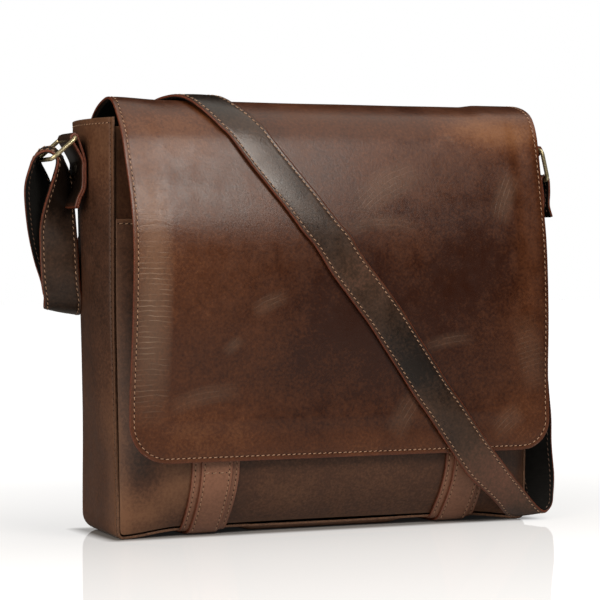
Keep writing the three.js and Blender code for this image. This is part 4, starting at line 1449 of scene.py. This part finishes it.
def stitch_tree():
    tree = bpy.data.node_groups.new("stitches along rows", "GeometryNodeTree")
    tree.interface.new_socket("Geometry", in_out="INPUT", socket_type="NodeSocketGeometry")
    for name, kind in STITCH_INPUTS:
        tree.interface.new_socket(name, in_out="INPUT", socket_type=kind)
    tree.interface.new_socket("Geometry", in_out="OUTPUT", socket_type="NodeSocketGeometry")
    given = add(tree, "NodeGroupInput", out=None)
    rows = add(tree, "GeometryNodeMeshToCurve", {"Mesh": given["Geometry"]})
    even = add(tree, "GeometryNodeResampleCurve", {"Curve": rows, "Length": given["Pitch"]}, mode="LENGTH")
    half = add(tree, "ShaderNodeCombineXYZ", {0: given["Length"], 1: given["Width"], 2: given["Height"]})
    bead = add(tree, "GeometryNodeMeshUVSphere", {"Segments": 8, "Rings": 5, "Radius": 0.5})
    bead = add(tree, "GeometryNodeSetShadeSmooth", {"Geometry": bead})
    bead = add(tree, "GeometryNodeTransform", {"Geometry": bead, "Scale": half})
    tangent = add(tree, "GeometryNodeInputTangent")
    seat = add(tree, "GeometryNodeInputNamedAttribute", {"Name": "seat"}, data_type="FLOAT_VECTOR")
    turn = add(tree, "FunctionNodeAlignRotationToVector", {"Vector": seat}, axis="Z")
    values = {"Rotation": turn, "Vector": tangent}
    turn = add(tree, "FunctionNodeAlignRotationToVector", values, axis="X", pivot_axis="Z")
    laid = add(tree, "GeometryNodeInstanceOnPoints", {"Points": even, "Instance": bead, "Rotation": turn})
    values = {2: -SLANT_SPREAD, 3: SLANT_SPREAD, "Seed": given["Seed"]}
    jitter = add(tree, "FunctionNodeRandomValue", values, out=1, data_type="FLOAT")
    slant = add(tree, "ShaderNodeMath", {0: given["Slant"], 1: jitter}, operation="ADD")
    shift = add(tree, "ShaderNodeCombineXYZ", {0: given["Shift"]})
    laid = add(tree, "GeometryNodeTranslateInstances", {"Instances": laid, "Translation": shift})
    spin = add(tree, "ShaderNodeCombineXYZ", {2: slant})
    laid = add(tree, "GeometryNodeRotateInstances", {"Instances": laid, "Rotation": spin})
    real = add(tree, "GeometryNodeRealizeInstances", {"Geometry": laid})
    done = add(tree, "GeometryNodeSetMaterial", {"Geometry": real, "Material": given["Material"]})
    add(tree, "NodeGroupOutput", {"Geometry": done})
    return tree


def make_stitches(tree, name, rows, size, shift, slant, material):
    points, edges, seats = [], [], []
    for row, facing in rows:
        run = run_along(row)
        whole = PITCH * math.floor(run[-1] / PITCH)
        keep = np.linspace(0, whole, max(2, round(whole / ROW_STEP)))
        start = len(points)
        points += np.stack([np.interp(keep, run, row[:, k]) for k in range(3)], 1).tolist()
        seats += np.stack([np.interp(keep, run, facing[:, k]) for k in range(3)], 1).tolist()
        edges += [(k, k + 1) for k in range(start, len(points) - 1)]
    mesh = bpy.data.meshes.new(name)
    mesh.from_pydata((np.array(points) * MM).tolist(), edges, [])
    attribute = mesh.attributes.new("seat", "FLOAT_VECTOR", "POINT")
    attribute.data.foreach_set("vector", np.array(seats, np.float32).ravel())
    piece = bpy.data.objects.new(name, mesh)
    bpy.context.scene.collection.objects.link(piece)
    modifier = piece.modifiers.new("stitches", "NODES")
    modifier.node_group = tree
    values = {
        "Pitch": PITCH * MM,
        "Length": size["length"] * MM,
        "Width": size["width"] * MM,
        "Height": size["height"] * MM,
        "Shift": shift * MM,
        "Slant": slant,
        "Seed": STITCH_SEED,
        "Material": material,
    }
    for item in tree.interface.items_tree:
        if item.in_out == "INPUT" and item.name in values:
            modifier[item.identifier] = values[item.name]
    made = piece.evaluated_get(bpy.context.evaluated_depsgraph_get())
    plain = bpy.data.meshes.new_from_object(made)
    piece.modifiers.clear()
    piece.data = plain
    bpy.data.meshes.remove(mesh)
    plain.name = name
    show(piece, None)


def make_all_stitches():
    tree = stitch_tree()
    for name, rows in sewn_rows.items():
        thread = DARK_THREAD if name in DARK_ROWS else PALE_THREAD
        make_stitches(tree, name, rows, THREAD, PITCH / 2, THREAD_SLANT, thread)
        make_stitches(tree, name.replace("stitching", "needle_holes"), rows, HOLE, 0, 0, NEEDLE_HOLE)


# Floor, light and camera
CAMERA_AT = (-846.9, -1801.6, 226.2)
CAMERA_TO = (-3.1, 8.0, 190.0)
CAMERA_LENS = 140.6
SENSOR = 36
LIGHTS_TO = (0, 0, 180)
LIGHTS = {
    "key softbox": {"at": (190, -955, 905), "size": (500, 540), "power": 8.6, "colour": "#fff7ee"},
    "left softbox": {"at": (-1620, -850, 800), "size": (1500, 1300), "power": 22, "colour": "#fff2e4"},
    "overhead softbox": {"at": (500, -150, 1800), "size": (1400, 1500), "power": 9.8, "colour": "#fff6ea"},
}
STUDIO_LIGHT = 0.02
FLOOR_HALF = 9000.0
FLOOR_Z = -0.2
FLOOR_MIRROR = 0.25
# The floor's own light, seen only by the camera, by the distance from the bag's base in metres: none under
# the base, so that a contact shadow is painted there, rising to full glow further out
FLOOR_GLOW_AND_PAINTED_SHADOW = [{"from": 0.0, "to": 0.014, "gain": 0.62}, {"from": 0.03, "to": 0.7, "gain": 0.42}]


# Acrylic sheet, cast white and polished: pale, with a faint mirror image of what stands on it. Its glow
# keeps it white away from the bag, and fading out towards the bag's base it paints a dark contact shadow
# there.
def pale_acrylic():
    material, tree = new_material("pale acrylic sheet, polished")
    seen = add(tree, "ShaderNodeLightPath", out="Is Camera Ray")
    values = {"Factor": seen, 6: linear("#bcbcbc"), 7: linear("#aeaeae")}
    pale = add(tree, "ShaderNodeMix", values, out=2, data_type="RGBA")
    place = add(tree, "ShaderNodeTexCoord", out="Object")
    away = add(tree, "ShaderNodeVectorMath", {0: place}, operation="ABSOLUTE")
    half = (BASE_HALF_WIDTH * MM, BASE_HALF_DEPTH * MM, 0)
    away = add(tree, "ShaderNodeVectorMath", {0: away, 1: half}, operation="SUBTRACT")
    away = add(tree, "ShaderNodeVectorMath", {0: away, 1: (0, 0, 0)}, operation="MAXIMUM")
    away = add(tree, "ShaderNodeVectorMath", {0: away}, out="Value", operation="LENGTH")
    glow = 0.0
    for row in FLOOR_GLOW_AND_PAINTED_SHADOW:
        values = {"Value": away, "From Min": row["from"], "From Max": row["to"], "To Max": row["gain"]}
        rise = add(tree, "ShaderNodeMapRange", values)
        glow = add(tree, "ShaderNodeMath", {0: glow, 1: rise}, operation="ADD")
    glow = add(tree, "ShaderNodeMath", {0: glow, 1: seen}, operation="MULTIPLY")
    values = {"Base Color": pale, "Roughness": 1.0, "Specular IOR Level": 0.0}
    values |= {"Emission Color": linear("#ffffff"), "Emission Strength": glow}
    sheet = add(tree, "ShaderNodeBsdfPrincipled", values)
    mirror = add(tree, "ShaderNodeBsdfGlossy", {"Color": linear("#ffffff"), "Roughness": 0.0})
    share = add(tree, "ShaderNodeMath", {0: seen, 1: FLOOR_MIRROR}, operation="MULTIPLY")
    polished = add(tree, "ShaderNodeMixShader", {0: share, 1: sheet, 2: mirror})
    add(tree, "ShaderNodeOutputMaterial", {"Surface": polished})
    return material


def make_floor():
    turns = [(-1, -1), (1, -1), (1, 1), (-1, 1)]
    corners = np.array([(x * FLOOR_HALF, y * FLOOR_HALF, FLOOR_Z) for x, y in turns])
    new_piece("floor", corners, [(0, 1, 2, 3)], [pale_acrylic()])


# The backdrop is white where it is looked at or mirrored, and dim as a light
def make_backdrop():
    world = bpy.data.worlds.new("white studio")
    bpy.context.scene.world = world
    world.use_nodes = True
    tree = world.node_tree
    tree.nodes.clear()
    path = add(tree, "ShaderNodeLightPath", out=None)
    values = {0: path["Is Camera Ray"], 1: path["Is Singular Ray"]}
    seen = add(tree, "ShaderNodeMath", values, operation="MAXIMUM")
    strength = add(tree, "ShaderNodeMapRange", {"Value": seen, "To Min": STUDIO_LIGHT, "To Max": 1.0})
    light = add(tree, "ShaderNodeBackground", {"Color": linear("#ffffff"), "Strength": strength})
    add(tree, "ShaderNodeOutputWorld", {"Surface": light})


def aimed(name, data, at, to):
    """A light or a camera at one point, turned to another."""
    holder = bpy.data.objects.new(name, data)
    holder.location = Vector(at) * MM
    aim = (Vector(to) - Vector(at)) * MM
    holder.rotation_euler = aim.to_track_quat("-Z", "Y").to_euler()
    bpy.context.scene.collection.objects.link(holder)
    return holder


def make_lights():
    for name, row in LIGHTS.items():
        lamp = bpy.data.lights.new(name, "AREA")
        lamp.shape = "RECTANGLE"
        lamp.size, lamp.size_y = (side * MM for side in row["size"])
        lamp.energy = row["power"]
        lamp.color = linear(row["colour"])[:3]
        aimed(name, lamp, row["at"], LIGHTS_TO)


def make_camera():
    camera = bpy.data.cameras.new("camera")
    camera.sensor_width = SENSOR
    camera.lens = CAMERA_LENS
    bpy.context.scene.camera = aimed("camera", camera, CAMERA_AT, CAMERA_TO)
    bpy.context.scene.view_settings.view_transform = "Standard"


make_body()
make_flap()
make_flap_lining()
stitch_flap()
make_strap()
for side in RINGS:
    make_closure(side)
    make_tab(side)
    make_ring(side)
    make_rivet(side)
make_all_stitches()
make_floor()
make_backdrop()
make_lights()
make_camera()
